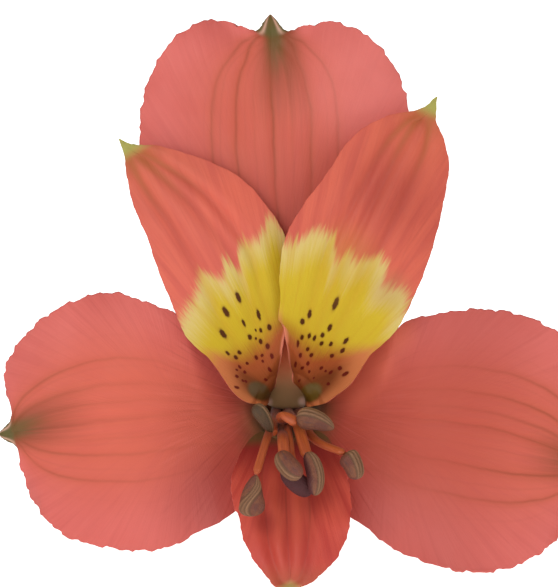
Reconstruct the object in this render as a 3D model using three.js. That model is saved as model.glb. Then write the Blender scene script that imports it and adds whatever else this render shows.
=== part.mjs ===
// A single cut alstroemeria: one bloom on its cut stem, lying on a surface.
// Millimetres, +Z up. The stem lies along Y with its cut end at +Y; the bloom looks towards -Y and a
// little up, and rests on the lower edges of its two side sepals, on its lower petal and on the stem.
//
// The bloom is built in its own frame, a nested group: x to the right across the face, y up the face
// and z out of the face towards a viewer, with the middle of the throat at the group's origin.
import * as THREE from 'three';

// ---------- driving dimensions, in millimetres and degrees ----------

const FACE_TILT = 18; // how far the bloom looks up from level
const FACE_ROLL = 2; // how far the face leans to its left
const THROAT = { x: -1.79, y: -60.2, z: 20.6 }; // where the middle of the throat stands in the part's frame

const TEPAL_THICKNESS = 0.7;
const LEAF_THICKNESS = 0.6;
const OVARY_TOP = -28; // depth of the ovary's flat top behind the throat
const SEAT_GAP = 0.3; // clearance between two pieces that meet

// Sepals stand on an outer trumpet and petals on an inner one. A trumpet's depth at a given distance
// from the bloom's axis runs from the throat's rim out to the flat crown.
const OUTER_TRUMPET = { rim: 5.4, rimDepth: -11, crown: 26, crownDepth: 0, steepness: 2.6 };
const INNER_TRUMPET = { rim: 4.4, rimDepth: -7.5, crown: 26, crownDepth: 3.4, steepness: 2.4 };
const LIP_TRUMPET = { rim: 4.6, rimDepth: -8, crown: 25, crownDepth: 9.4, steepness: 2.1 };

// Where along a tepal, from 0 at the ovary to 1 at the tip, its claw ends and its point begins.
const CLAW_END = 0.26;
const NOTCH = 0.93;

// One entry per tepal. base and tip are directions round the face, anticlockwise from the right.
// reach is the tip's distance from the bloom's axis, notch where the blade closes to its green point,
// widest the distance of the widest place. The side named first is the anticlockwise one.
const SEPAL = {
  trumpet: OUTER_TRUMPET, clawRadius: 3.4, clawHalf: 1.5, tipHalf: 1.5, taper: 1, rows: 26, columns: 12, folds: [], foldDepth: 0,
};
const PETAL = {
  trumpet: INNER_TRUMPET, clawRadius: 2.6, clawHalf: 1.15, tipHalf: 0.5, taper: 1.3, rows: 24, columns: 10,
  folds: [-0.42, 0, 0.4], foldDepth: 0.45, ruffle: 0.2,
};
const TEPALS = {
  sepal_top: {
    ...SEPAL, base: 90, tip: 92.6, reach: 52.4, notch: 50.2, widest: 37.5, innerLength: 33.5, bow: 0.5,
    half: [18.2, 18.2], pinch: [1.3, 1.3], shoulder: [3.3, 2.6], edge: [-1.5, -1.5], droop: 3, ruffle: 0.7,
  },
  sepal_left: {
    ...SEPAL, base: 210, tip: 185.4, reach: 38.8, notch: 37, widest: 22.5, innerLength: 18.3, bow: 0,
    half: [17.5, 17.3], pinch: [1.0, 1.25], shoulder: [0.4, 1.9], edge: [-5, -1.5], droop: 1.5, ruffle: 0.55,
  },
  sepal_right: {
    ...SEPAL, base: 330, tip: 348.8, reach: 42.6, notch: 40.7, widest: 24.8, innerLength: 20.3, bow: -0.1,
    half: [17.9, 17.3], pinch: [1.25, 1.0], shoulder: [1.6, 0.8], edge: [-1.5, -1.8], droop: 1.5, ruffle: 0.55,
  },
  petal_left: {
    ...PETAL, base: 150, tip: 121.8, reach: 41.2, notch: 39.6, widest: 21, innerLength: 17.6, bow: -3.3,
    half: [7.9, 8.6], pinch: [1.25, 1.25], shoulder: [-1.6, -0.6], edge: [-1.2, -1.4], droop: 1.2,
  },
  petal_right: {
    ...PETAL, base: 30, tip: 64.4, reach: 45, notch: 43.3, widest: 21.5, innerLength: 18.1, bow: 0.6,
    half: [9.2, 8.8], pinch: [1.25, 1.25], shoulder: [-0.4, -0.6], edge: [0.1, -1.2], droop: 1, lift: 1.5,
  },
  petal_lower: {
    ...PETAL, trumpet: LIP_TRUMPET, base: 270, tip: 270.6, reach: 24.6, notch: 23.7, widest: 11.8,
    innerLength: 7.5, bow: 0, half: [8.1, 7.6], pinch: [0.9, 0.9], shoulder: [0, -1.6], edge: [-1.6, -1.6], droop: 0.4,
    folds: [-0.36, 0.04, 0.4],
  },
};

// Each stamen: its filament's path after the base ring, in the bloom's frame, and its anther's far end.
const FILAMENT_RING = 1.65;
const FILAMENT_RADIUS = { base: 0.45, tip: 0.62 };
const ANTHER = { width: 2.7, depth: 2 };
const STAMENS = [
  { base: 210, path: [[-1.7, -1.6, -12], [-2.1, -2.7, 1], [-2.9, -4.5, 8.5], [-4.2, -8.5, 12.3]], end: [-4.9, -13.8, 12.6] },
  { base: 270, path: [[-0.1, -2.5, -12], [-0.6, -3.4, 2], [-0.8, -4.2, 9], [-1.3, -4.9, 12.4]], end: [1.6, -9.2, 14.2] },
  { base: 90, path: [[0.1, 1.3, -18], [0.4, -0.4, -6], [1.3, -2.7, 5.0], [2.2, -5.3, 11.0]], end: [3.4, -11.4, 12.2] },
  { base: 330, path: [[1.8, -1.6, -12], [2.3, -2.9, 1], [4.1, -4.4, 6.5], [7.3, -5.7, 9.3]], end: [9.4, -9.3, 10.2] },
  { base: 30, path: [[1.5, 0.7, -12], [1.3, 0.6, -3], [0.3, -0.3, 5.8], [0.8, -0.6, 8.4]], end: [5.8, -2.3, 9.4] },
  { base: 150, path: [[-1.6, 0.4, -12], [-1.6, -0.2, 0], [-1.4, -1.9, 5.0], [-1.6, -3.3, 6.6]], end: [-4.5, -0.2, 7.4] },
];

const STYLE = { radius: 0.45, path: [[0, -0.1, -20], [-0.25, -0.4, -15], [-0.3, -1.0, -9.5]], lobes: 3, stigma: 0.8 };
const OVARY = { top: 4.3, waist: 3.6, neck: 1.25, length: 8.5, ribs: 6, ribHeight: 0.35 };

// The stem's centre line after the ovary, in the part's frame, and its radius along it.
const STEM = {
  neck: 1.15, foot: 1.9, node: 0.62, nodeAt: 0.45, nodeSpan: 0.035, sides: 10, steps: 26,
  path: [[-1.6, -3.7, 3.6], [-1.0, 16, 1.78], [-0.1, 41.3, 1.79], [-0.5, 76.78, 1.79]],
};

// Leaves stand round the stem's node and turn over once near the base. root is how far along the stem
// a leaf starts; side is the direction round the stem that it leaves in, from the right, up over the top.
const LEAVES = [
  { root: 0.47, side: 158, rise: 5, spread: 24, length: 47, half: 6.0, arch: 9, turn: 128 },
  { root: 0.45, side: 22, rise: 4, spread: 23, length: 50, half: 6.4, arch: 10, turn: -132 },
  { root: 0.49, side: 92, rise: 25, spread: 4, length: 45, half: 5.4, arch: 7, turn: 160 },
  { root: 0.71, side: 35, rise: 4, spread: 8, length: 36, half: 4.8, arch: 6, turn: -140 },
];
const LEAF = { rows: 18, columns: 6, ribs: 5, ribDepth: 0.18 };

// ---------- small helpers ----------

const radians = THREE.MathUtils.degToRad;
const mix = THREE.MathUtils.lerp;
const ramp = (x, low, high) => THREE.MathUtils.smoothstep(x, low, high);
const vector = (list) => new THREE.Vector3(...list);

function mesh(name, geometry, material) {
  const made = new THREE.Mesh(geometry, material);
  made.name = name;
  return made;
}

function geometryOf(points, triangles) {
  const geometry = new THREE.BufferGeometry();
  geometry.setAttribute('position', new THREE.Float32BufferAttribute(points.flatMap((p) => p.toArray()), 3));
  geometry.setIndex(triangles.flat());
  geometry.computeVertexNormals();
  return geometry;
}

// A thin blade: surface(u, w) gives the middle of the blade, u from 0 to 1 along it and w from -1 to 1
// across it. Both faces are offset along the normal and split into triangles alike.
function bladeGeometry(surface, rows, columns, thickness) {
  const step = 0.004;
  const faces = [1, -1].map((sense) => {
    const grid = [];
    for (let i = 0; i <= rows; i++) {
      for (let j = 0; j <= columns; j++) {
        const u = i / rows;
        const w = (2 * j) / columns - 1;
        const along = surface(Math.min(u + step, 1), w).sub(surface(Math.max(u - step, 0), w));
        const across = surface(u, Math.min(w + step, 1)).sub(surface(u, Math.max(w - step, -1)));
        const normal = along.cross(across).normalize();
        grid.push(surface(u, w).addScaledVector(normal, (sense * thickness) / 2));
      }
    }
    return grid;
  });
  const count = faces[0].length;
  const at = (i, j) => i * (columns + 1) + j;
  const triangles = [];
  for (let i = 0; i < rows; i++) {
    for (let j = 0; j < columns; j++) {
      const [a, b, c, d] = [at(i, j), at(i + 1, j), at(i + 1, j + 1), at(i, j + 1)];
      triangles.push([a, b, c], [a, c, d], [a + count, c + count, b + count], [a + count, d + count, c + count]);
    }
  }
  const border = [];
  for (let j = 0; j < columns; j++) border.push(at(0, j));
  for (let i = 0; i < rows; i++) border.push(at(i, columns));
  for (let j = columns; j > 0; j--) border.push(at(rows, j));
  for (let i = rows; i > 0; i--) border.push(at(i, 0));
  border.forEach((a, k) => {
    const b = border[(k + 1) % border.length];
    triangles.push([a, b, b + count], [a, b + count, a + count]);
  });
  return geometryOf(faces.flat(), triangles);
}

// A closed body through a list of rings of points, all of one count, with a flat or pointed end at each end.
function ringsGeometry(rings) {
  const sides = rings[0].length;
  const centre = (ring) => ring.reduce((sum, p) => sum.add(p), new THREE.Vector3()).divideScalar(sides);
  const points = [...rings.flat(), centre(rings[0]), centre(rings[rings.length - 1])];
  const first = rings.length * sides;
  const last = first + 1;
  const triangles = [];
  for (let i = 0; i < rings.length - 1; i++) {
    for (let j = 0; j < sides; j++) {
      const [a, b] = [i * sides + j, i * sides + ((j + 1) % sides)];
      triangles.push([a, b + sides, b], [a, a + sides, b + sides]);
    }
  }
  for (let j = 0; j < sides; j++) {
    const next = (j + 1) % sides;
    const top = (rings.length - 1) * sides;
    triangles.push([first, j, next], [last, top + next, top + j]);
  }
  return geometryOf(points, triangles);
}

// A stalk along a curve; radius(u, angle) is its half-thickness at u along it, angle round it.
function stalkGeometry(curve, radius, steps, sides, up) {
  const rings = [];
  for (let i = 0; i <= steps; i++) {
    const u = i / steps;
    const tangent = curve.getTangentAt(u);
    const right = new THREE.Vector3().crossVectors(tangent, up).normalize();
    const over = new THREE.Vector3().crossVectors(right, tangent);
    const centre = curve.getPointAt(u);
    rings.push(Array.from({ length: sides }, (_, j) => {
      const angle = (2 * Math.PI * j) / sides;
      const r = radius(u, angle);
      return centre.clone().addScaledVector(right, r * Math.cos(angle)).addScaledVector(over, r * Math.sin(angle));
    }));
  }
  return ringsGeometry(rings);
}

// ---------- the bloom's place, and the surface that it rests on ----------

const alstroemeria = new THREE.Group();
const bloom = new THREE.Group();
bloom.position.set(THROAT.x, THROAT.y, THROAT.z);
bloom.rotation.set(Math.PI / 2 - radians(FACE_TILT), 0, radians(FACE_ROLL));
alstroemeria.add(bloom);
bloom.updateMatrixWorld(true);

// Presses what would pass below the surface flat against it.
function restOnSurface(geometry, group) {
  const position = geometry.getAttribute('position');
  const point = new THREE.Vector3();
  for (let i = 0; i < position.count; i++) {
    group.localToWorld(point.fromBufferAttribute(position, i));
    point.z = Math.max(point.z, 0);
    group.worldToLocal(point);
    position.setXYZ(i, point.x, point.y, point.z);
  }
  return geometry;
}

// ---------- tepals ----------

function trumpetDepth(trumpet, radius) {
  const left = 1 - THREE.MathUtils.clamp((radius - trumpet.rim) / (trumpet.crown - trumpet.rim), 0, 1);
  return trumpet.crownDepth - (trumpet.crownDepth - trumpet.rimDepth) * left ** trumpet.steepness;
}

// The cross-section of a tepal at u along it: the rib's distance from the axis and its depth, the two
// half-widths, how far each edge leads the rib, and how closely the section wraps round the axis.
function tepalSection(tepal, u) {
  const { trumpet, widest, innerLength, notch, reach } = tepal;
  const openAngle = Math.acos((widest - trumpet.rim) / innerLength);
  const blade = THREE.MathUtils.clamp((u - CLAW_END) / (NOTCH - CLAW_END), 0, 1);
  const sweep = mix(openAngle, Math.PI, blade);
  const outward = -Math.cos(sweep) * (sweep < Math.PI / 2 ? innerLength : notch - widest);
  const claw = Math.min(u / CLAW_END, 1);
  const point = Math.max((u - NOTCH) / (1 - NOTCH), 0);
  const fullness = Math.sin(sweep);
  const rib = claw < 1 ? mix(tepal.clawRadius, trumpet.rim, claw ** 2) : widest + outward + (reach - notch) * point;
  const start = OVARY_TOP + SEAT_GAP;
  const tipDroop = tepal.droop * ramp(rib, widest, reach) ** 2;
  const depth = claw < 1 ? mix(start, trumpet.rimDepth, claw) : trumpetDepth(trumpet, rib) - tipDroop;
  const wrap = 1 - ramp(rib, trumpet.rim, 2.2 * trumpet.rim);
  const room = (rib * Math.PI / 3 - SEAT_GAP) / Math.max(wrap, 0.05);
  const half = [0, 1].map((side) => {
    const power = sweep < Math.PI / 2 ? tepal.pinch[side] : tepal.taper;
    const wide = Math.hypot(tepal.half[side] * fullness ** power, tepal.tipHalf * ramp(sweep, Math.PI / 2, Math.PI));
    const kept = wide / (1 + (wide / room) ** 8) ** 0.125;
    return claw < 1 ? mix(tepal.clawHalf, kept, claw ** 2) : kept * (1 - point) ** 0.8 + 0.25 * point;
  });
  const rounding = sweep > Math.PI / 2 ? (1 - fullness ** 4) * ramp(fullness, 0.08, 0.45) : 0;
  return {
    rib, depth, half, wrap,
    lead: tepal.shoulder.map((shoulder) => shoulder * rounding),
    turn: ramp(rib, 0.8 * trumpet.rim, 2.6 * trumpet.rim),
    bow: tepal.bow * Math.sin(Math.PI * ramp(rib, trumpet.rim, reach)),
    blade: ramp(rib, trumpet.rim, widest),
  };
}

// A point of a tepal's middle surface, w from -1 at its clockwise edge to 1 at its anticlockwise edge.
function tepalPoint(tepal, u, w) {
  const section = tepalSection(tepal, u);
  const side = w < 0 ? 1 : 0;
  const out = Math.abs(w);
  const offset = w * section.half[side];
  const angle = offset / section.rib;
  const flat = [section.rib + section.lead[side] * out ** 2, offset + section.bow];
  const curled = [section.rib * Math.cos(angle), section.rib * Math.sin(angle)];
  const along = mix(flat[0], curled[0], section.wrap);
  const across = mix(flat[1], curled[1], section.wrap);
  const cling = trumpetDepth(tepal.trumpet, Math.hypot(along, across)) - trumpetDepth(tepal.trumpet, section.rib);
  const edge = tepal.edge[side] * out ** 2.2 * section.blade;
  const wave = tepal.ruffle * out ** 4 * section.blade * Math.sin(2 * Math.PI * (5.5 * u + 0.3 * side));
  const folds = tepal.folds.reduce((sum, at) => sum + Math.exp(-(((w - at) / 0.16) ** 2)), 0);
  const pleat = -tepal.foldDepth * folds * section.blade * (1 - ramp(u, 0.86, 1));
  const lift = (tepal.lift ?? 0) * ramp(section.rib, tepal.trumpet.rim, 0.5 * tepal.widest);
  const depth = section.depth + (1 - section.wrap) * cling + edge + wave + pleat + lift;
  const heading = radians(mix(tepal.base, tepal.tip, section.turn));
  return new THREE.Vector3(
    along * Math.cos(heading) - across * Math.sin(heading),
    along * Math.sin(heading) + across * Math.cos(heading),
    depth,
  );
}

function makeTepal(name, tepal, material) {
  const surface = (u, w) => tepalPoint(tepal, u, w);
  const geometry = bladeGeometry(surface, tepal.rows, tepal.columns, TEPAL_THICKNESS);
  return mesh(name, restOnSurface(geometry, bloom), material);
}

// ---------- stamens, style and ovary ----------

function ringPoint(angle, depth) {
  return new THREE.Vector3(
    FILAMENT_RING * Math.cos(radians(angle)), FILAMENT_RING * Math.sin(radians(angle)), depth,
  );
}

function makeFilament(name, stamen, material) {
  const start = OVARY_TOP + SEAT_GAP;
  const points = [ringPoint(stamen.base, start), ringPoint(stamen.base, start + 3), ...stamen.path.map(vector)];
  const curve = new THREE.CatmullRomCurve3(points);
  const radius = (u) => mix(FILAMENT_RADIUS.base, FILAMENT_RADIUS.tip, u) * (u > 0.97 ? 0.6 : 1);
  return mesh(name, stalkGeometry(curve, radius, 14, 6, new THREE.Vector3(1, 0, 0)), material);
}

// Two pollen sacs side by side with a groove between them, from the filament's tip to the far end.
function makeAnther(name, stamen, material) {
  const tip = vector(stamen.path[stamen.path.length - 1]);
  const end = vector(stamen.end);
  const axis = end.clone().sub(tip).normalize();
  const arriving = tip.clone().sub(vector(stamen.path[stamen.path.length - 2])).normalize();
  const aside = FILAMENT_RADIUS.tip * arriving.cross(axis).length();
  const start = tip.addScaledVector(axis, SEAT_GAP + aside);
  const curve = new THREE.LineCurve3(start, end);
  const radius = (u, angle) => {
    const bulge = Math.sin(Math.PI * mix(0.06, 0.95, u)) ** 0.6;
    const groove = 1 - 0.24 * Math.abs(Math.sin(angle)) ** 6;
    return (bulge * groove * Math.hypot(ANTHER.width * Math.cos(angle), ANTHER.depth * Math.sin(angle))) / 2;
  };
  return mesh(name, stalkGeometry(curve, radius, 9, 12, new THREE.Vector3(0, 0, 1)), material);
}

function makeStyle(material) {
  const start = OVARY_TOP + SEAT_GAP;
  const points = [new THREE.Vector3(0, 0, start), ...STYLE.path.map(vector)];
  const radius = (u, angle) => {
    const opening = ramp(u, 0.92, 1);
    return STYLE.radius + opening * (STYLE.stigma - STYLE.radius) * (0.6 + 0.4 * Math.cos(STYLE.lobes * angle));
  };
  const curve = new THREE.CatmullRomCurve3(points);
  return mesh('style', stalkGeometry(curve, radius, 16, 9, new THREE.Vector3(1, 0, 0)), material);
}

// The green ribbed ovary below the tepals: wide and flat at its top, narrow where the stem takes over.
function makeOvary(material) {
  const curve = new THREE.LineCurve3(
    new THREE.Vector3(0, 0, OVARY_TOP), new THREE.Vector3(0, 0, OVARY_TOP - OVARY.length),
  );
  const radius = (u, angle) => {
    const body = mix(mix(OVARY.top, OVARY.waist, ramp(u, 0, 0.4)), OVARY.neck, ramp(u, 0.3, 1));
    return body + OVARY.ribHeight * Math.cos(OVARY.ribs * angle) * Math.sin(Math.PI * u);
  };
  return mesh('ovary', stalkGeometry(curve, radius, 8, 24, new THREE.Vector3(0, 1, 0)), material);
}

// ---------- stem and leaves ----------

const stemStart = bloom.localToWorld(new THREE.Vector3(0, 0, OVARY_TOP - OVARY.length - SEAT_GAP));
const stemSecond = bloom.localToWorld(new THREE.Vector3(0, 0, OVARY_TOP - OVARY.length - 7));
const stemCurve = new THREE.CatmullRomCurve3([stemStart, stemSecond, ...STEM.path.map(vector)]);

function stemRadius(u) {
  const swelling = Math.exp(-(((u - STEM.nodeAt) / STEM.nodeSpan) ** 2));
  return mix(STEM.neck, STEM.foot, ramp(u, 0.05, 0.6)) + STEM.node * swelling;
}

function makeStem(material) {
  const geometry = stalkGeometry(stemCurve, stemRadius, STEM.steps, STEM.sides, new THREE.Vector3(0, 0, 1));
  return mesh('stem', restOnSurface(geometry, alstroemeria), material);
}

// A lance-shaped leaf that runs forward along the stem, turns over near its base and arches.
function leafPoint(leaf, u, w) {
  const out = new THREE.Vector3(Math.cos(radians(leaf.side)), 0, Math.sin(radians(leaf.side)));
  const root = stemCurve.getPointAt(leaf.root);
  const clear = stemRadius(leaf.root) + SEAT_GAP + LEAF_THICKNESS;
  const reach = new THREE.Vector3(Math.sign(out.x) * leaf.spread, 0, leaf.rise);
  const forward = Math.sqrt(leaf.length ** 2 - reach.lengthSq());
  const rib = root.addScaledVector(out, clear)
    .add(new THREE.Vector3(reach.x * u ** 1.3, -forward * u, reach.z * u ** 1.1 + leaf.arch * Math.sin(Math.PI * u) * 0.5));
  const twist = radians(leaf.side - 90 + leaf.turn * ramp(u, 0, 0.34));
  const half = leaf.half * mix(0.2, 1, ramp(u, 0.06, 0.5)) * mix(1, 0.06, ramp(u, 0.42, 1.04)) ** 1.1;
  const ridge = -LEAF.ribDepth * Math.cos(Math.PI * LEAF.ribs * w);
  const cup = 0.16 * leaf.half * w * w + ridge;
  const sideways = new THREE.Vector3(Math.cos(twist), 0, Math.sin(twist));
  const upright = new THREE.Vector3(-Math.sin(twist), 0, Math.cos(twist));
  return rib.addScaledVector(sideways, w * half).addScaledVector(upright, cup * ramp(u, 0, 0.2));
}

function makeLeaf(name, leaf, material) {
  const geometry = bladeGeometry((u, w) => leafPoint(leaf, u, w), LEAF.rows, LEAF.columns, LEAF_THICKNESS);
  return mesh(name, restOnSurface(geometry, alstroemeria), material);
}

// ---------- assembly ----------

const materials = {
  sepal: new THREE.MeshStandardMaterial({ color: '#de6660', roughness: 0.55, metalness: 0, side: THREE.DoubleSide }),
  petal: new THREE.MeshStandardMaterial({ color: '#e06a52', roughness: 0.5, metalness: 0, side: THREE.DoubleSide }),
  lip: new THREE.MeshStandardMaterial({ color: '#c94f45', roughness: 0.5, metalness: 0, side: THREE.DoubleSide }),
  filament: new THREE.MeshStandardMaterial({ color: '#c9632f', roughness: 0.45, metalness: 0 }),
  anther: new THREE.MeshStandardMaterial({ color: '#7d6250', roughness: 0.8, metalness: 0 }),
  style: new THREE.MeshStandardMaterial({ color: '#cf7a4a', roughness: 0.5, metalness: 0 }),
  ovary: new THREE.MeshStandardMaterial({ color: '#6f8a3c', roughness: 0.5, metalness: 0 }),
  stem: new THREE.MeshStandardMaterial({ color: '#6d8b45', roughness: 0.5, metalness: 0 }),
  leaf: new THREE.MeshStandardMaterial({ color: '#4f7a35', roughness: 0.5, metalness: 0, side: THREE.DoubleSide }),
};

for (const [name, tepal] of Object.entries(TEPALS)) {
  const kind = name === 'petal_lower' ? 'lip' : name.split('_')[0];
  bloom.add(makeTepal(name, tepal, materials[kind]));
}
STAMENS.forEach((stamen, i) => {
  bloom.add(makeFilament(`filament_${i + 1}`, stamen, materials.filament));
  bloom.add(makeAnther(`anther_${i + 1}`, stamen, materials.anther));
});
bloom.add(makeStyle(materials.style));
bloom.add(makeOvary(materials.ovary));
alstroemeria.add(makeStem(materials.stem));
LEAVES.forEach((leaf, i) => alstroemeria.add(makeLeaf(`leaf_${i + 1}`, leaf, materials.leaf)));

export default alstroemeria;
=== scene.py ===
"""A cut alstroemeria, laid down: one bloom on its short leafy stem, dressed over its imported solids.

Shapes are worked out in millimetres. The bloom has a frame of its own: x to the right across the face,
y up the face and z out of it towards the viewer, with the middle of the throat at its origin.
"""

import bpy
import numpy as np
from mathutils import Matrix


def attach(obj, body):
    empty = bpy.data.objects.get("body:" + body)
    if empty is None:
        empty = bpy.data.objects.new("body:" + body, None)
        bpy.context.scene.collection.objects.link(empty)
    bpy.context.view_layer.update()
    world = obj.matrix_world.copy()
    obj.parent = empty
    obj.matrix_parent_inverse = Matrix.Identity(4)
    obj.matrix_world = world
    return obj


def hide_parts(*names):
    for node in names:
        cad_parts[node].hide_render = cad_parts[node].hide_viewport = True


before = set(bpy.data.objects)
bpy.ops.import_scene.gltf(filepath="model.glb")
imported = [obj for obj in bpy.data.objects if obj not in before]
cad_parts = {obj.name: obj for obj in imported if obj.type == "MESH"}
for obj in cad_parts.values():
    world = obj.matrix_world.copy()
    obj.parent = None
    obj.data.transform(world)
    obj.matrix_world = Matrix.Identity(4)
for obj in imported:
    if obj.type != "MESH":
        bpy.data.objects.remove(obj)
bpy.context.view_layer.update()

MM = 0.001

# ---------- the bloom's place, and the camera that looks straight into it ----------

FACE_TILT = np.radians(18.0)  # how far the bloom looks up from level
FACE_ROLL = np.radians(2.0)  # how far the face leans to its left
THROAT = np.array([-1.79, -60.2, 20.6])  # the middle of the throat
SIGHT = (-1.206, 14.94)  # the point of the face that the camera looks at
CAMERA_DISTANCE = 450.0
VIEW_HEIGHT = 78.66  # what the picture takes in at the face, from bottom to top
SENSOR = 36.0


def turn(axis, angle):
    """The matrix of a turn by angle about the x or z axis."""
    c, s = np.cos(angle), np.sin(angle)
    if axis == "x":
        return np.array([[1, 0, 0], [0, c, -s], [0, s, c]])
    return np.array([[c, -s, 0], [s, c, 0], [0, 0, 1]])


BLOOM_TURN = turn("x", np.pi / 2 - FACE_TILT) @ turn("z", FACE_ROLL)


def from_bloom(points):
    """Points of the bloom's frame, turned and moved to where the bloom stands."""
    return points @ BLOOM_TURN.T + THROAT


# ---------- helpers for shapes ----------

def ramp(x, low, high):
    """0 below low, 1 above high, and the smooth S-shaped cubic between them."""
    t = np.clip((x - low) / (high - low), 0.0, 1.0)
    return t * t * (3 - 2 * t)


def mix(a, b, t):
    return a + (b - a) * t


def spline(rows, t):
    """The Catmull-Rom curve through rows, even in their number, at each t from 0 to 1."""
    rows = np.asarray(rows, dtype=float)
    knots = np.vstack([2 * rows[0] - rows[1], rows, 2 * rows[-1] - rows[-2]])
    x = np.clip(t, 0, 1) * (len(rows) - 1)
    i = np.minimum(x.astype(int), len(rows) - 2)
    f = (x - i)[:, None]
    a, b, c, d = knots[i], knots[i + 1], knots[i + 2], knots[i + 3]
    return b + 0.5 * f * (c - a + f * (2 * a - 5 * b + 4 * c - d + f * (3 * (b - c) + d - a)))


def unit(v):
    return v / np.maximum(np.linalg.norm(v, axis=-1, keepdims=True), 1e-12)


def grid_quads(rows, columns, closed=False):
    """Four-cornered faces over a grid of rows by columns points, joined round its columns if closed."""
    i, j = np.meshgrid(np.arange(rows - 1), np.arange(columns if closed else columns - 1), indexing="ij")
    a = i * columns + j
    b = i * columns + (j + 1) % columns
    return np.stack([a, a + columns, b + columns, b], axis=-1).reshape(-1, 4)


def link(name, data):
    """A new object of the scene that shows this data."""
    made = bpy.data.objects.new(name, data)
    bpy.context.scene.collection.objects.link(made)
    return made


def build(name, points, faces, attributes):
    """A mesh object from points in millimetres, kept from sinking below the floor, faces and point values."""
    points = points.copy()
    points[:, 2] = np.maximum(points[:, 2], 0.0)
    mesh = bpy.data.meshes.new(name)
    mesh.from_pydata((points * MM).tolist(), [], [f for part in faces for f in np.asarray(part).tolist()])
    mesh.polygons.foreach_set("use_smooth", np.ones(len(mesh.polygons), dtype=bool))
    for label, values in attributes.items():
        kind = "FLOAT" if values.ndim == 1 else "FLOAT_VECTOR"
        layer = mesh.attributes.new(label, kind, "POINT")
        layer.data.foreach_set("value" if values.ndim == 1 else "vector", values.astype(np.float32).ravel())
    mesh.update()
    return link(name, mesh)


def blade(name, sheet, thickness, attributes):
    """A thin closed blade about a middle sheet, a grid of points.

    The front is the sheet moved out by half of the thickness along its normal, the back is it moved in, and
    a band of faces closes the margin.
    """
    normal = unit(np.cross(np.gradient(sheet, axis=0), np.gradient(sheet, axis=1)))
    rows, columns = sheet.shape[:2]
    shift = normal * (thickness / 2)[..., None]
    front, back = (sheet + shift).reshape(-1, 3), (sheet - shift).reshape(-1, 3)
    count = rows * columns
    ring = np.concatenate([
        np.arange(columns - 1),
        np.arange(rows - 1) * columns + columns - 1,
        (rows - 1) * columns + np.arange(columns - 1, 0, -1),
        np.arange(rows - 1, 0, -1) * columns,
    ])
    following = np.roll(ring, -1)
    band = np.stack([ring, following, following + count, ring + count], axis=-1)
    quads = grid_quads(rows, columns)
    faces = [quads, quads[:, ::-1] + count, band]
    both = {label: np.concatenate([v, v]) for label, v in attributes.items()}
    both["front"] = np.concatenate([np.ones(count), np.zeros(count)])
    return build(name, np.vstack([front, back]), faces, both)


def rings(centre, across, upright, radius, angle):
    """Rings of points round a centre line, followed by the line's two ends.

    A ring's point lies radius away from the line, at its angle from the across direction towards the
    upright one.
    """
    rim = across[:, None] * np.cos(angle)[:, None] + upright[:, None] * np.sin(angle)[:, None]
    return np.vstack([(centre[:, None] + rim * radius[..., None]).reshape(-1, 3), centre[[0, -1]]])


def ring_faces(rows, sides):
    """Faces over rings of points, with a fan round each of the two ends."""
    ring = np.arange(sides)
    following = (ring + 1) % sides
    last = (rows - 1) * sides
    near = np.stack([np.full(sides, rows * sides), ring, following], axis=-1)
    far = np.stack([np.full(sides, rows * sides + 1), last + following, last + ring], axis=-1)
    return [grid_quads(rows, sides, closed=True), near, far]


def tube(name, centre, upright, angle, radius):
    """A closed tube round a centre line, whose radius is a grid over lengths and angles."""
    tangent = unit(np.gradient(centre, axis=0))
    side = unit(np.cross(tangent, upright))
    points = rings(centre, side, np.cross(side, tangent), radius, angle)
    rows, sides = radius.shape
    values = {
        "lengthwise": np.append(np.repeat(np.linspace(0, 1, rows), sides), [0, 1]),
        "around": np.append(np.tile(angle, rows), [0, 0]),
    }
    return build(name, points, ring_faces(rows, sides), values)


def round_angles(sides):
    return np.linspace(0, 2 * np.pi, sides, endpoint=False)


def finish_piece(piece, material, slot, *nodes):
    """Gives a piece its material, and lets it stand for its solids. slot is not used."""
    piece.data.materials.append(material)
    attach(piece, "root")
    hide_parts(*nodes)


# ---------- tepals ----------

# Sepals stand on an outer trumpet and petals on an inner one: rim radius, depth at the rim, crown radius,
# depth at the crown, steepness.
OUTER_TRUMPET = (5.4, -11.0, 26.0, 0.0, 2.6)
INNER_TRUMPET = (4.4, -7.5, 26.0, 3.4, 2.4)
LIP_TRUMPET = (4.6, -8.0, 25.0, 9.4, 2.1)

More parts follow.
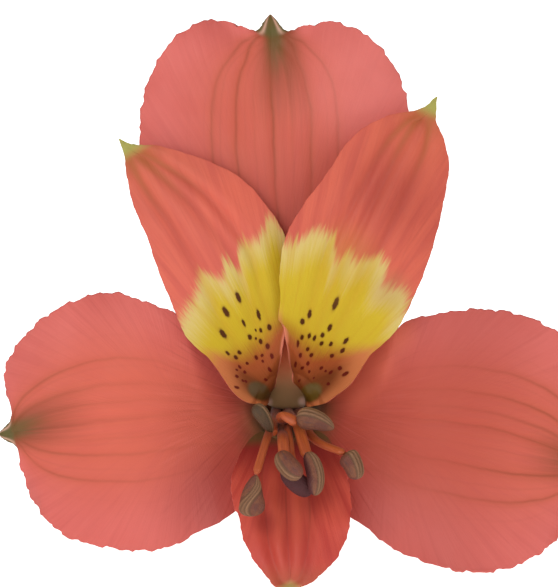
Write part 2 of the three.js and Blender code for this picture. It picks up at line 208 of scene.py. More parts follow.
# Cross-sections from the ovary to the tip, in millimetres: the rib's distance from the bloom's axis, its
# depth, its shift sideways, the half-widths on its anticlockwise and clockwise side, and how far each
# margin leads the rib.
SEPAL_CLAW = [
    (3.4, -28.2, 0, 1.5, 1.5, 0, 0), (3.6, -22.0, 0, 2.0, 2.0, 0, 0), (4.3, -15.5, 0, 3.2, 3.2, 0, 0),
]
PETAL_CLAW = [
    (2.6, -28.2, 0, 1.15, 1.15, 0, 0), (2.65, -22.0, 0, 1.25, 1.25, 0, 0), (2.7, -16.0, 0, 1.5, 1.5, 0, 0),
]
SECTIONS = {
    "sepal_top": [
        (3.4, -28.2, 0, 1.5, 1.5, 0, 0), (2.9, -23.0, 0, 1.9, 1.9, 0, 0),
        (1.0, -18.0, 0, 2.3, 2.3, 0.1, 0.1), (-0.9, -14.8, 0, 2.6, 2.6, 0.5, 0.5),
        (0.7, -12.4, 0, 3.3, 3.3, 0.3, 0.3), (3.2, -10.8, 0, 4.1, 4.1, 0.2, 0.2),
        (5.6, -9.4, 0, 5.0, 5.0, 0.2, 0.2), (8.0, -7.4, 0, 6.8, 6.8, 0, 0), (11.5, -4.6, 0, 9.2, 9.2, 0, 0),
        (16.0, -1.8, 0.1, 11.5, 11.5, 0, 0), (22.0, -0.3, 0.2, 14.3, 14.3, 0, 0),
        (28.0, 0.0, 0.3, 16.6, 16.6, 0.2, 0.2), (34.0, -0.1, 0.3, 17.9, 18.0, 0.6, 0.6),
        (39.0, -0.3, 0.3, 17.65, 18.1, 1.4, 1.2), (43.0, -0.6, 0.3, 16.1, 16.6, 2.2, 1.9),
        (45.4, -0.8, 0.2, 13.0, 13.3, 4.4, 3.6), (47.0, -1.0, 0.1, 8.5, 8.6, 5.2, 4.2),
        (48.0, -1.2, 0, 4.9, 5.0, 3.5, 2.8), (48.8, -1.4, 0, 3.2, 3.3, 2.0, 1.6),
        (49.6, -1.7, 0, 2.25, 2.35, 0.8, 0.55), (50.6, -2.0, 0, 1.5, 1.6, 0, 0),
        (51.6, -2.4, 0, 0.85, 0.85, 0, 0), (52.6, -2.8, 0, 0.12, 0.12, 0, 0),
    ],
    "sepal_left": SEPAL_CLAW + [
        (5.4, -11.0, 0, 5.0, 4.8, 0, 0), (6.9, -9.0, -0.1, 7.0, 6.6, 0, 0),
        (9.0, -6.6, -0.3, 10.1, 9.9, -0.3, 0), (12.0, -4.0, -0.6, 15.1, 12.5, 0.2, 0.4),
        (16.5, -1.5, -0.9, 18.0, 14.4, 0.3, 0.2), (21.5, -0.2, -1.0, 18.5, 16.4, 0.3, 0.3),
        (26.0, 0.0, -1.0, 17.4, 16.0, 0.9, 0.6), (29.8, -0.1, -0.9, 15.5, 14.2, 1.6, 1.5),
        (32.8, -0.3, -0.7, 12.5, 11.8, 1.2, 1.8), (34.9, -0.6, -0.5, 8.9, 9.2, 0.9, 2.0),
        (36.2, -0.9, -0.3, 5.0, 6.4, 0.3, 1.4), (36.9, -1.2, -0.1, 2.8, 3.5, -0.5, 0),
        (37.6, -1.4, 0, 1.7, 1.7, -0.7, -0.3), (38.4, -1.6, 0, 0.8, 0.8, -0.2, -0.2),
        (39.1, -1.9, 0, 0.12, 0.12, 0, 0),
    ],
    "sepal_right": SEPAL_CLAW + [
        (5.4, -11.0, 0, 4.8, 5.0, 0, 0), (7.0, -9.0, 0.2, 6.6, 7.2, 0, 0),
        (9.2, -6.5, 0.5, 10.6, 9.9, 0, -0.2), (12.3, -3.8, 0.9, 12.7, 14.1, 0, 0.2),
        (17.0, -1.4, 1.5, 14.3, 17.5, 0.1, 0.2), (22.5, -0.1, 2.1, 15.5, 19.2, 0.3, 0.3),
        (28.0, 0.0, 2.2, 15.7, 19.3, 0.5, 0.3), (32.5, -0.1, 1.8, 14.8, 17.4, 1.1, 0.8),
        (36.0, -0.3, 1.3, 12.4, 13.9, 1.9, 1.2), (38.6, -0.5, 0.8, 8.9, 9.9, 2.3, 1.0),
        (40.1, -0.8, 0.4, 5.6, 6.0, 1.6, 0.6), (41.0, -1.1, 0.1, 3.1, 3.1, 0, -0.4),
        (41.6, -1.3, 0, 1.6, 1.6, -0.6, -0.6), (42.2, -1.5, 0, 0.9, 0.9, -0.2, -0.2),
        (42.8, -1.8, 0, 0.25, 0.25, 0, 0),
    ],
    "petal_left": PETAL_CLAW + [
        (2.85, -11.0, 0, 1.7, 1.1, 0, 0), (2.95, -8.0, 0, 1.9, 1.1, 0, 0), (3.15, -6.4, 0, 2.0, 2.1, 0, 0),
        (3.6, -5.6, 0, 2.1, 3.8, 0, 0), (4.5, -5.0, 0, 2.6, 5.95, 0, 0), (6.0, -4.2, 0, 3.2, 7.6, 0, 0),
        (8.2, -2.9, -0.3, 4.4, 7.6, 0, 0), (11.0, -1.1, -0.9, 6.5, 6.9, 0, 0),
        (15.0, 1.25, -1.9, 8.5, 7.6, 0, 0), (19.5, 2.8, -3.1, 9.0, 8.6, 0, 0),
        (24.5, 3.4, -3.4, 8.4, 8.3, 0, 0), (29.0, 3.3, -3.2, 7.1, 7.6, 0, 0),
        (33.0, 3.0, -2.6, 5.9, 5.9, 0, 0), (36.3, 2.6, -1.8, 4.1, 4.0, 0, 0),
        (38.6, 2.4, -1.1, 2.4, 2.6, 0, 0), (39.6, 2.3, -0.6, 1.4, 1.6, 0, 0),
        (40.5, 2.2, -0.2, 0.75, 0.85, 0, 0), (41.3, 2.15, 0, 0.35, 0.4, 0, 0),
        (42.1, 2.1, 0.1, 0.08, 0.08, 0, 0),
    ],
    "petal_right": [
        (2.6, -28.2, 0, 1.15, 1.15, 0, 0), (2.6, -22.0, 0, 1.25, 1.25, 0, 0),
        (2.6, -16.0, 0, 1.5, 1.5, 0, 0), (2.6, -11.0, 0, 1.1, 1.7, 0, 0), (2.65, -8.0, 0, 1.3, 1.9, 0, 0),
        (2.75, -6.6, 0, 3.2, 2.0, 0, 0), (3.1, -5.9, 0, 4.9, 2.1, 0, 0), (3.7, -5.5, 0, 6.4, 2.3, 0, 0),
        (4.6, -5.0, 0, 8.2, 2.6, 0, 0), (6.0, -4.2, 0, 8.6, 3.1, 0, 0), (8.2, -2.9, 0.1, 7.8, 5.0, 0, 0),
        (11.2, -0.95, 0.2, 6.5, 7.3, 0, 0), (15.4, 1.4, 0.35, 8.3, 9.0, 0, 0),
        (20.0, 2.85, 0.6, 9.4, 9.4, 0, 0), (25.0, 3.4, 0.6, 9.1, 9.1, 0, 0),
        (30.0, 3.3, 0.6, 8.1, 8.3, 0, 0), (34.5, 3.05, 0.7, 7.4, 7.3, 0, 0),
        (38.0, 2.75, 0.7, 6.0, 6.2, 0, 0), (40.8, 2.55, 0.6, 3.7, 4.0, 0, 0),
        (42.4, 2.45, 0.4, 1.75, 2.0, 0, 0), (43.3, 2.4, 0.1, 1.0, 1.2, 0, 0),
        (44.2, 2.4, 0, 0.55, 0.65, 0, 0), (44.9, 2.4, 0, 0.35, 0.35, 0, 0),
        (45.6, 2.4, -0.1, 0.08, 0.08, 0, 0),
    ],
    "petal_lower": PETAL_CLAW + [
        (4.6, -8.0, 0, 2.6, 2.4, 0, 0), (5.3, -6.8, 0, 4.2, 4.0, 0, 0), (6.5, -4.7, 0, 6.0, 5.7, 0, 0),
        (8.2, -2.1, 0, 7.3, 7.1, 0, 0), (10.2, 0.5, 0, 8.0, 7.7, 0, 0), (12.5, 3.2, 0, 8.2, 7.5, 0, 0),
        (15.0, 5.5, 0.1, 8.0, 6.7, 0, 0), (17.5, 7.2, 0.15, 7.3, 6.2, 0, 0),
        (19.8, 8.2, 0.2, 6.1, 5.1, 0, 0), (21.7, 8.7, 0.2, 4.3, 3.7, 0, 0), (23.0, 8.9, 0.1, 2.7, 2.6, 0, 0),
        (23.7, 9.0, 0, 1.2, 1.5, 0, 0), (24.1, 9.0, 0, 0.6, 0.8, 0, 0), (24.5, 9.0, 0, 0.25, 0.25, 0, 0),
    ],
}

SEPAL = dict(trumpet=OUTER_TRUMPET, lift=0, scallop=1, groove_width=0.6)
SIDE_SEPAL = dict(
    SEPAL, opens=(5.4, 11.9), ruffle=0.55, grooves=[(0, 0, 0.2), (0.28, 0.24, 0.08), (-0.28, -0.24, 0.08)],
)
PETAL = dict(trumpet=INNER_TRUMPET, ruffle=0.2, lift=0, scallop=0.3, groove_width=1.0)

# base and tip are the directions of the claw and of the blade's tip, in degrees round the face. widest is
# how far out the blade is widest, and opens the distances between which it unrolls from its wrapped claw.
# edge is how far its two margins bend back, ruffle how much they wave, scallop how ragged they are, lift
# how far the blade stands forward, and start where its waves begin. Grooves run lengthwise: each has its
# place across the blade at the middle, the same near the tip, and a depth.
TEPALS = {
    "sepal_top": dict(
        SEPAL, base=90, tip=92.6, widest=37.5, opens=(-9, -8), edge=(-1.5, -1.5), ruffle=0.7, start=0.4,
        grooves=[(0, 0, 0.25), (0.28, 0.24, 0.1), (-0.28, -0.24, 0.1)],
    ),
    "sepal_left": dict(SIDE_SEPAL, base=210, tip=185.9, widest=22.5, edge=(-1.8, -1.5), start=1.9),
    "sepal_right": dict(SIDE_SEPAL, base=330, tip=348.8, widest=24.8, edge=(-1.5, 0.9), start=3.1),
    "petal_left": dict(
        PETAL, base=150, tip=122.2, widest=21, opens=(2.85, 3.2), edge=(-1.2, -1.4), start=0.9,
        grooves=[(-0.42, -0.2, 0.8), (-0.19, 0.2, 0.6), (0.38, 0.7, 0.7)],
    ),
    "petal_right": dict(
        PETAL, base=30, tip=64.4, widest=21.5, opens=(2.6, 2.8), edge=(0.1, -1.2), lift=1.5, start=2.2,
        grooves=[(0.36, 0.42, 0.8), (0.13, 0.1, 0.75), (-0.21, -0.5, 0.7)],
    ),
    "petal_lower": dict(
        PETAL, trumpet=LIP_TRUMPET, base=270, tip=270.6, widest=11.8, opens=(4.6, 10.1), edge=(-1.6, -1.6),
        start=4.0, scallop=0.5, groove_width=0.9,
        grooves=[(-0.47, -0.5, 0.9), (-0.06, -0.08, 0.9), (0.33, 0.3, 0.7)],
    ),
}
SCALLOPS = [(0.09, 2.3, 0.0), (0.07, 1.35, 1.3), (0.10, 3.9, 2.1), (0.05, 0.8, 0.7)]  # size, length, start
SCALLOP_POWER = 14  # how closely scallops keep to the margin
EDGE_POWER = 2.2
RUFFLE_POWER = 4
TIGHTEST_WRAP = 2.5
SHOULDER = 0.35  # how high the shoulders beside a groove rise, against its depth
TEPAL_ROWS, TEPAL_COLUMNS = 200, 121
CROWDING = 0.25  # how much closer the columns of points stand towards the margins
TEPAL_THICKNESS = (0.5, 0.28)  # at the rib and at the margins
TIP_THICKNESS = 0.6
FLOOR_CLEARANCE = 0.3
FLOOR_SOFTNESS = 0.4


def wavering(s, waves):
    """A sum of sine waves over a length s, each given by its size, wavelength and start."""
    return sum(size * np.sin(2 * np.pi * s / length + start) for size, length, start in waves)


def trumpet_depth(trumpet, radius):
    """Depth on a trumpet: from its rim to its crown it rises ever more gently, as a power of what is left."""
    rim, rim_depth, crown, crown_depth, steepness = trumpet
    left = 1 - np.clip((radius - rim) / (crown - rim), 0, 1)
    return crown_depth - (crown_depth - rim_depth) * left ** steepness


def scalloped(tepal, along, across, u, w, open_part):
    """A blade's plan, with both margins moved in and out along their normals by small scallops.

    They are a sum of sine waves over the length of the margin, and die off inwards as a high power of the
    way out.
    """
    for side, sense in ((0, -1), (-1, 1)):
        forward, sideways = np.gradient(along[:, side]), np.gradient(across[:, side])
        length = np.cumsum(np.hypot(forward, sideways))[:, None]
        normal = unit(np.stack([-sideways, forward], axis=-1) * sense)
        near = np.where(w * sense > 0, np.abs(w) ** SCALLOP_POWER, 0) * open_part * ramp(1 - u, 0.0, 0.14)
        scallop = tepal["scallop"] * wavering(length + 5 * tepal["start"], SCALLOPS) * near
        along = along + normal[:, :1] * scallop
        across = across + normal[:, 1:] * scallop
    return along, across


def crease_depth(tepal, u, w, half):
    """The relief of a blade's grooves: each a narrow bell sunk between the low shoulders of a wider one."""
    towards_tip = ramp(u, 0.45, 0.95)
    depth = 0
    for middle, end, size in tepal["grooves"]:
        reach = ((w - mix(middle, end, towards_tip)) * half / tepal["groove_width"]) ** 2
        depth = depth + size * (SHOULDER * np.exp(-reach / 6) - np.exp(-reach))
    return depth * (1 - ramp(u, 0.88, 0.97)) * ramp(half, 0.8, 3.2)


def tepal_surface(name, u, w):
    """A tepal's middle sheet in the bloom's frame, and the half-width at each of its points.

    Its cross-sections are joined by a spline. Near the throat a section wraps round the bloom's axis as
    an arc; further out it opens flat, with its margins led forward by the square of the way out. Depth
    follows the trumpet by distance from the axis, plus margins that bend back, waves that grow towards
    the margin, and grooves along the blade.
    """
    tepal = TEPALS[name]
    trumpet, rim = tepal["trumpet"], tepal["trumpet"][0]
    rib, depth, bow, half_a, half_b, lead_a, lead_b = [c[:, None] for c in spline(SECTIONS[name], u).T]
    u, w = u[:, None], w[None, :]
    out = np.abs(w)
    half = np.where(w > 0, half_a, half_b)
    lead = np.where(w > 0, lead_a, lead_b)
    wrap = 1 - ramp(rib, *tepal["opens"])
    angle = w * half / np.maximum(rib, TIGHTEST_WRAP)
    along = mix(rib + lead * out ** 2, rib * np.cos(angle), wrap)
    across = mix(w * half + bow, rib * np.sin(angle), wrap)
    open_part = ramp(rib, rim, tepal["widest"])
    along, across = scalloped(tepal, along, across, u, w, open_part)
    cling = trumpet_depth(trumpet, np.hypot(along, across)) - trumpet_depth(trumpet, rib)
    edge = np.where(w > 0, *tepal["edge"]) * out ** EDGE_POWER * open_part
    ruffles = [(0.7, 0.17, tepal["start"]), (0.45, 0.105, 2 * tepal["start"])]
    waves = tepal["ruffle"] * out ** RUFFLE_POWER * open_part * wavering(u + 0.05 * np.sign(w), ruffles)
    creases = crease_depth(tepal, u, w, half) * open_part
    lift = tepal["lift"] * ramp(rib, rim, 0.5 * tepal["widest"])
    depth = depth + (1 - wrap) * cling + (edge + waves) * ramp(half, 1.0, 9.0) + creases + lift
    heading = np.radians(mix(tepal["base"], tepal["tip"], ramp(rib, 0.8 * rim, 2.6 * rim)))
    x = along * np.cos(heading) - across * np.sin(heading)
    y = along * np.sin(heading) + across * np.cos(heading)
    return np.stack([x, y, depth + 0 * x], axis=-1), half


def make_tepal(name, material, slot):
    """A tepal with its thickness, thinner towards the margins and stouter at the tip.

    Where its margin would pass below the floor it comes forward instead, by a soft positive part of how
    far it falls short. Its points carry their place on the face, on the blade laid out flat (plan), and
    across and along the blade (blade).
    """
    u = np.linspace(0, 1, TEPAL_ROWS)
    bend = np.linspace(-1, 1, TEPAL_COLUMNS)
    w = np.sin(bend * np.pi / 2) * CROWDING + bend * (1 - CROWDING)
    sheet, half = tepal_surface(name, u, w)
    short = FLOOR_CLEARANCE - from_bloom(sheet)[..., 2]
    sheet[..., 2] += (short + np.hypot(short, FLOOR_SOFTNESS)) / 2 / np.sin(FACE_TILT)
    tip = np.radians(TEPALS[name]["tip"])
    x, y, depth = np.moveaxis(sheet, -1, 0)
    plan = np.stack([x * np.cos(tip) + y * np.sin(tip), y * np.cos(tip) - x * np.sin(tip), depth], axis=-1)
    grid_u, grid_w = np.meshgrid(u, w, indexing="ij")
    stout = np.minimum(TIP_THICKNESS, 0.9 * half)
    thickness = mix(mix(*TEPAL_THICKNESS, grid_w ** 2), stout, ramp(grid_u, 0.9, 0.97))
    values = {
        "plan": plan.reshape(-1, 3),
        "face": sheet.reshape(-1, 3),
        "blade": np.stack([grid_w, grid_u, half], axis=-1).reshape(-1, 3),
    }
    piece = blade(name + "_bloom", from_bloom(sheet), thickness, values)
    finish_piece(piece, material, slot, name)


# ---------- stamens, style and ovary ----------

OVARY_TOP = -28.0
OVARY_LENGTH = 8.9
OVARY_GIRTH = (4.3, 3.65, 1.25)  # its radius at the shoulder, the belly and the foot
OVARY_RIB = 0.42  # how high its ribs stand
ROOT_DEPTH = OVARY_TOP - 0.3  # where stalks end, just inside the ovary
FILAMENT_RING = 1.65  # how far from the bloom's axis filaments start
ANTHER_GAP = 0.1  # how far past its filament's end an anther starts
ANTHER_ROWS, ANTHER_SIDES = 90, 120
RIDGE_PLACES = (-24, 0, 24)  # an anther's ridges, in degrees round it from the middle of their band
RIDGE_HEIGHT, RIDGE_WIDTH = 0.09, 0.14
WAIST_DEPTH, WAIST_WIDTH = 0.05, 0.5  # the furrow along an anther's back
STYLE_RADIUS = 0.58

# Each stamen: the bearing of its filament's foot, the filament's path, and girth, its radius where it
# starts and ends. Its anther runs from start, or else from the path's end, to end, with a half-width and
# a depth. swell is how much slimmer or wider it is at its start and end, bow how far it bows sideways,
# and ridges where its ridges face at both, in degrees round it: 0 to its left as seen from the front, 90
# to the viewer. tint goes from dark purple at -1 through brown at 0 to dark green at 1, shade is how much
# darker the side away from the ridges is painted, a painted shade, and blunt how square its ends are.
# beneath lists any sacs that show below it.
STAMENS = [
    dict(foot=210, path=[(-1.7, -1.6, -12), (-2.1, -2.7, 1), (-2.9, -4.5, 8.5), (-4.2, -8.6, 12.3)],
         girth=(0.62, 0.46), end=(-4.55, -14.1, 12.6), half=1.45, deep=0.95, swell=(0.5, 1.5), bow=0.3,
         ridges=(150, 25)),
    dict(foot=270, path=[(-0.1, -2.5, -12), (-0.6, -3.4, 2), (-0.7, -4.2, 9), (-0.5, -6.5, 11.7)],
         girth=(0.6, 0.64), start=(-1.2, -5.6, 12.2), end=(1.75, -8.75, 14.2), half=1.38, deep=1.0,
         swell=(0.95, 1.0), bow=0.35, ridges=(22, 18),
         beneath=[dict(start=(-0.6, -7.7, 11.2), end=(3.1, -11.2, 10.8), half=1.5, deep=0.8,
                       swell=(0.9, 0.9), bow=0.3, ridges=(-90, -90), tint=-1)]),
    dict(foot=90,
         path=[(0.0, 0.2, -20), (0.1, -1.2, -15), (0.3, -1.6, -6), (1.3, -2.7, 5.0), (2.5, -6.6, 10.6)],
         girth=(0.5, 0.66), start=(2.4, -5.7, 11.0), end=(3.4, -11.4, 12.2), half=1.2, deep=0.95,
         swell=(0.95, 0.95), bow=-0.55, ridges=(150, 152), shade=0.8),
    dict(foot=330, path=[(1.8, -1.6, -12), (2.3, -3.1, 1), (4.1, -4.75, 6.5), (7.4, -6.0, 9.3)],
         girth=(0.68, 0.52), end=(9.0, -9.4, 10.2), half=1.25, deep=1.0, swell=(1.2, 0.85), bow=-0.3,
         ridges=(148, 140), blunt=5),
    dict(foot=30,
         path=[(1.2, 0.2, -20), (1.0, -1.5, -14), (0.4, -2.0, -3), (-0.9, -1.9, 4.6), (-0.6, -1.15, 7.4),
               (1.15, -2.15, 8.5)],
         girth=(0.42, 0.62), start=(1.0, -1.5, 8.4), end=(6.0, -2.8, 9.6), half=1.45, deep=1.0,
         swell=(1.25, 0.55), bow=-0.4, ridges=(158, 150), tint=0.25),
    dict(foot=150,
         path=[(-1.3, 0.0, -20), (-1.6, -1.4, -14), (-1.9, -2.2, -2), (-2.0, -2.9, 4.0), (-2.1, -3.5, 6.3)],
         girth=(0.42, 0.6), end=(-4.5, 0.2, 7.4), half=1.05, deep=0.95, swell=(0.62, 1.15), bow=0.15,
         ridges=(18, 12), tint=1),
]
STYLE_PATH = [
    (0, 0, ROOT_DEPTH), (0, -0.4, -21), (-0.2, -1.5, -15), (-0.2, -2.5, -4), (-0.05, -3.3, 4),
    (0.2, -5.0, 8.4), (0.4, -7.1, 9.8),
]


def make_filament(number, stamen, material):
    """A filament: a stalk along its path, drawn in a little where the anther sits.

    Round it, its radius changes as cosines of two and five times the angle, which flatten it slightly.
    """
    foot = np.radians(stamen["foot"])
    x, y = FILAMENT_RING * np.cos(foot), FILAMENT_RING * np.sin(foot)
    path = [(x, y, ROOT_DEPTH), (x, y, ROOT_DEPTH + 4), *stamen["path"]]
    t = np.linspace(0, 1, 140)
    angle = round_angles(28)
    size = mix(*stamen["girth"], ramp(t, 0.35, 0.9)) * mix(1, 0.45, ramp(t, 0.965, 1.0) ** 2)
    flat = 1 - 0.16 * np.cos(2 * angle) + 0.03 * np.cos(5 * angle)
    centre = from_bloom(spline(path, t))
    piece = tube(f"filament_{number}_stalk", centre, (1, 0, 0), angle, size[:, None] * flat)
    finish_piece(piece, material, "filament", f"filament_{number}")


def bean(start, end, half, deep, swell, bow, ridges, tint=0, shade=0, blunt=3):
    """A blunt bean with a smooth back and a band of ridges along one side: points, faces and values.

    Its outline is an oval, the more square-ended the higher its power blunt, along a line that bows sideways
    as a half sine. Round the line it is an ellipse, with a bell-shaped rise at each ridge and a bell-shaped
    furrow behind, and the band of ridges turns as it goes.
    """
    start, end = np.array(start), np.array(end)
    t = (1 - np.cos(np.linspace(0.02, 0.98, ANTHER_ROWS) * np.pi)) / 2
    sideways = unit(np.cross(end - start, (0, 0, 1)))
    centre = start + (end - start) * t[:, None] + np.sin(np.pi * t)[:, None] * sideways * bow
    tangent = unit(np.gradient(centre, axis=0))
    side = unit(np.cross(tangent, (0, 0, 1)))
    angle = np.linspace(-np.pi, np.pi, ANTHER_SIDES, endpoint=False)
    band = np.radians(mix(*ridges, ramp(t, 0.1, 0.9)))[:, None]
    outline = ((1 - np.abs(2 * t - 1) ** blunt) ** 0.5 * mix(*swell, t))[:, None]
    oval = 1 / np.hypot(np.cos(angle) / half, np.sin(angle) / deep)
    facing = (angle - band + np.pi) % (2 * np.pi) - np.pi
    ridge = sum(np.exp(-((facing - np.radians(place)) / RIDGE_WIDTH) ** 2) for place in RIDGE_PLACES)
    waist = np.exp(-((facing - np.pi * np.sign(facing)) / WAIST_WIDTH) ** 2)
    radius = outline * oval * (1 + RIDGE_HEIGHT * ridge - WAIST_DEPTH * waist)
    points = from_bloom(rings(centre, side, np.cross(side, tangent), radius, angle))
    turned = np.stack([np.cos(facing), np.sin(facing), t[:, None] + 0 * facing], axis=-1).reshape(-1, 3)
    # painted shade: the side away from the ridges is darkened by shade
    darker = tint - shade * ramp(np.abs(facing), 1.1, 2.0).reshape(-1)
    values = {"facing": np.vstack([turned, [(1, 0, 0), (1, 0, 1)]]), "tint": np.append(darker, [tint, tint])}
    return points, ring_faces(*facing.shape), values


def make_anther(number, stamen, material):
    """An anther: its bean, set just past the filament's end, and any second sac that shows beneath it."""
    own = {key: value for key, value in stamen.items() if key not in ("foot", "path", "girth", "beneath")}
    start, end = np.array(own.get("start", stamen["path"][-1])), np.array(own["end"])
    own["start"] = start + unit(end - start) * ANTHER_GAP
    points, faces, values = zip(*[bean(**sac) for sac in (own, *stamen.get("beneath", []))])
    first = np.cumsum([0] + [len(part) for part in points[:-1]])
    faces = [part + offset for sac, offset in zip(faces, first) for part in sac]
    joined = {label: np.concatenate([part[label] for part in values]) for label in ("facing", "tint")}
    piece = build(f"anther_{number}_sacs", np.vstack(points), faces, joined)
    finish_piece(piece, material, "anther", f"anther_{number}")


def make_style(material):
    """The style: a thin stalk whose end opens into three short lobes, a cosine of three times the angle."""
    t = np.linspace(0, 1, 80)
    angle = round_angles(30)
    opening = ramp(t, 0.9, 0.985)[:, None]
    radius = STYLE_RADIUS + opening * 0.2 * (0.55 + 0.45 * np.cos(3 * angle))
    piece = tube("style_stalk", from_bloom(spline(STYLE_PATH, t)), (1, 0, 0), angle, radius)
    finish_piece(piece, material, "style", "style")


def make_ovary(material):
    """The ribbed ovary: a body of revolution, wide at its top and drawn in to the stem, with six ribs.

    The ribs rise as the cube of a cosine round the body, and fade at both ends as a power of a half sine.
    """
    t = np.linspace(0, 1, 90)
    centre = from_bloom(np.stack([0 * t, 0 * t, OVARY_TOP - OVARY_LENGTH * t], axis=-1))
    angle = round_angles(144)
    shoulder, belly, foot = OVARY_GIRTH
    body = mix(mix(shoulder, belly, ramp(t, 0, 0.4)), foot, ramp(t, 0.3, 1.0))
    body = body * mix(0.86, 1.0, ramp(t, 0, 0.08))
    ribs = (np.abs(np.cos(3 * angle)) ** 3 - 0.5) * (np.sin(np.pi * t) ** 0.7)[:, None]
    piece = tube("ovary_body", centre, (1, 0, 0), angle, body[:, None] + OVARY_RIB * ribs)
    finish_piece(piece, material, "ovary", "ovary")


# ---------- stem and leaves ----------

STEM_PATH = [(-1.6, -3.7, 3.6), (-1.0, 16, 1.78), (-0.1, 41.3, 1.79), (-0.5, 76.78, 1.79)]
STEM_GIRTH = (1.15, 1.9)  # its radius at the ovary and at the cut end
STEM_NODES = [(0.45, 0.035, 0.62), (0.71, 0.012, 0.22)]  # place along the stem, width, rise
LEAF_ROWS, LEAF_COLUMNS = 160, 61
LEAF_THICKNESS = (0.45, 0.25)  # at the rib and at the margins
LEAF_CUP = 0.16
LEAF_PLEATS = 7
# Leaves: root is how far along the stem one starts, and side the direction that it leaves in, in degrees
# round the stem from the right up over the top. rise and spread are how far up and sideways its tip comes,
# length is the straight line to its tip, half its half-width, arch how high it arches, and turn how far it
# turns over.
LEAVES = [
    dict(root=0.47, side=158, rise=5, spread=24, length=47, half=6.0, arch=9, turn=128),
    dict(root=0.45, side=22, rise=4, spread=23, length=50, half=6.4, arch=10, turn=-132),
    dict(root=0.49, side=92, rise=25, spread=4, length=45, half=5.4, arch=7, turn=160),
    dict(root=0.71, side=35, rise=4, spread=8, length=36, half=4.8, arch=6, turn=-140),
]


def stem_line(t):
    """The stem's centre line, from below the ovary, bending down to the surface and then along it."""
    inner = from_bloom(np.array([(0, 0, OVARY_TOP - 8.3), (0, 0, OVARY_TOP - 15.5)]))
    dense = spline(np.vstack([inner, STEM_PATH]), np.linspace(0, 1, 600))
    length = np.append(0, np.cumsum(np.linalg.norm(np.diff(dense, axis=0), axis=1)))
    return np.stack([np.interp(t * length[-1], length, dense[:, k]) for k in range(3)], axis=-1)


def stem_radius(t):
    """The stem's radius: it grows from the ovary to the cut end, with a bell-shaped swelling at two nodes."""
    swelling = sum(rise * np.exp(-(((t - place) / width) ** 2)) for place, width, rise in STEM_NODES)
    return mix(*STEM_GIRTH, ramp(t, 0.05, 0.6)) + swelling


def make_stem(material):
    """The stem: a long tube with swollen nodes, flattened where it lies.

    Its faint lengthwise ridges are cosines of 11 and 7 times the angle round it.
    """
    t = np.linspace(0, 1, 260)
    angle = round_angles(48)
    ridges = 1 + 0.018 * np.cos(11 * angle) + 0.01 * np.cos(7 * angle + 1)
    piece = tube("stem_stalk", stem_line(t), (0, 0, 1), angle, stem_radius(t)[:, None] * ridges)
    finish_piece(piece, material, "stem", "stem")


def leaf_surface(leaf, u, w):
    """A lance-shaped leaf's middle sheet.

    The rib runs forward along the stem while it spreads, rises and arches as a half sine. Across it the
    blade turns over near its base, is cupped by the square of the way out, and is pleated by its ribs.
    """
    side = np.radians(leaf["side"])
    out = np.array([np.cos(side), 0, np.sin(side)])
    root = stem_line(np.array([leaf["root"]]))[0]
    clear = stem_radius(leaf["root"]) * 0.86 + 1.2 * ramp(u, 0, 0.05)
    sweep = np.sign(out[0]) * leaf["spread"]
    forward = np.sqrt(leaf["length"] ** 2 - sweep ** 2 - leaf["rise"] ** 2)
    arch = leaf["arch"] * np.sin(np.pi * u) * 0.5
    run = np.stack([sweep * u ** 1.3, -forward * u, leaf["rise"] * u ** 1.1 + arch], axis=-1)
    twist = np.radians(leaf["side"] - 90 + leaf["turn"] * ramp(u, 0, 0.34))
    half = leaf["half"] * mix(0.2, 1, ramp(u, 0.06, 0.5)) * mix(1, 0.02, ramp(u, 0.42, 1.0)) ** 1.1
    across = np.stack([np.cos(twist), 0 * u, np.sin(twist)], axis=-1)
    upright = np.stack([-np.sin(twist), 0 * u, np.cos(twist)], axis=-1)
    pleats = -0.10 * np.cos(np.pi * LEAF_PLEATS * w) - 0.25 * np.exp(-(w / 0.09) ** 2)
    cup = LEAF_CUP * leaf["half"] * w ** 2 + pleats
    wave = 0.35 * np.sin(9 * u + leaf["side"])[:, None] * np.abs(w) ** 3
    lifted = (cup + wave) * ramp(u, 0, 0.2)[:, None]
    rib = root + out * clear[:, None] + run
    spread = across[:, None] * (w * half[:, None])[..., None]
    return rib[:, None] + spread + upright[:, None] * lifted[..., None]


def make_leaf(number, leaf, material):
    """A leaf with its thickness, thinner towards its margins and its tip."""
    u, w = np.linspace(0, 1, LEAF_ROWS), np.linspace(-1, 1, LEAF_COLUMNS)
    grid_u, grid_w = np.meshgrid(u, w, indexing="ij")
    thickness = mix(*LEAF_THICKNESS, grid_w ** 2) * mix(1, 0.35, ramp(grid_u, 0.9, 1.0))
    values = {"blade": np.stack([grid_w, grid_u, 0 * grid_u], axis=-1).reshape(-1, 3)}
    piece = blade(f"leaf_{number}_blade", leaf_surface(leaf, u, w), thickness, values)
    finish_piece(piece, material, "leaf", f"leaf_{number}")


# ---------- helpers for materials ----------

EULER = 2.718
HALO_SPREAD = 3.5  # how much wider a line's halo is than the line
MOTTLE_SCALE = 160.0
CELL_SCALE = 5200.0
RELIEF_DEPTH = 0.00012
RELIEF_STRENGTH = 0.5
NO_SPOT = 9.0  # farther away than any spot matters
SPOT_LEAN = 0.85  # how nearly the ovals point at the throat


def tone(red, green, blue):
    """A colour from its everyday 0 to 255 values, as the linear light that shaders take."""
    c = np.array([red, green, blue]) / 255
    linear = np.where(c <= 0.04045, c / 12.92, ((c + 0.055) / 1.055) ** 2.4)
    return (*[float(v) for v in linear], 1.0)


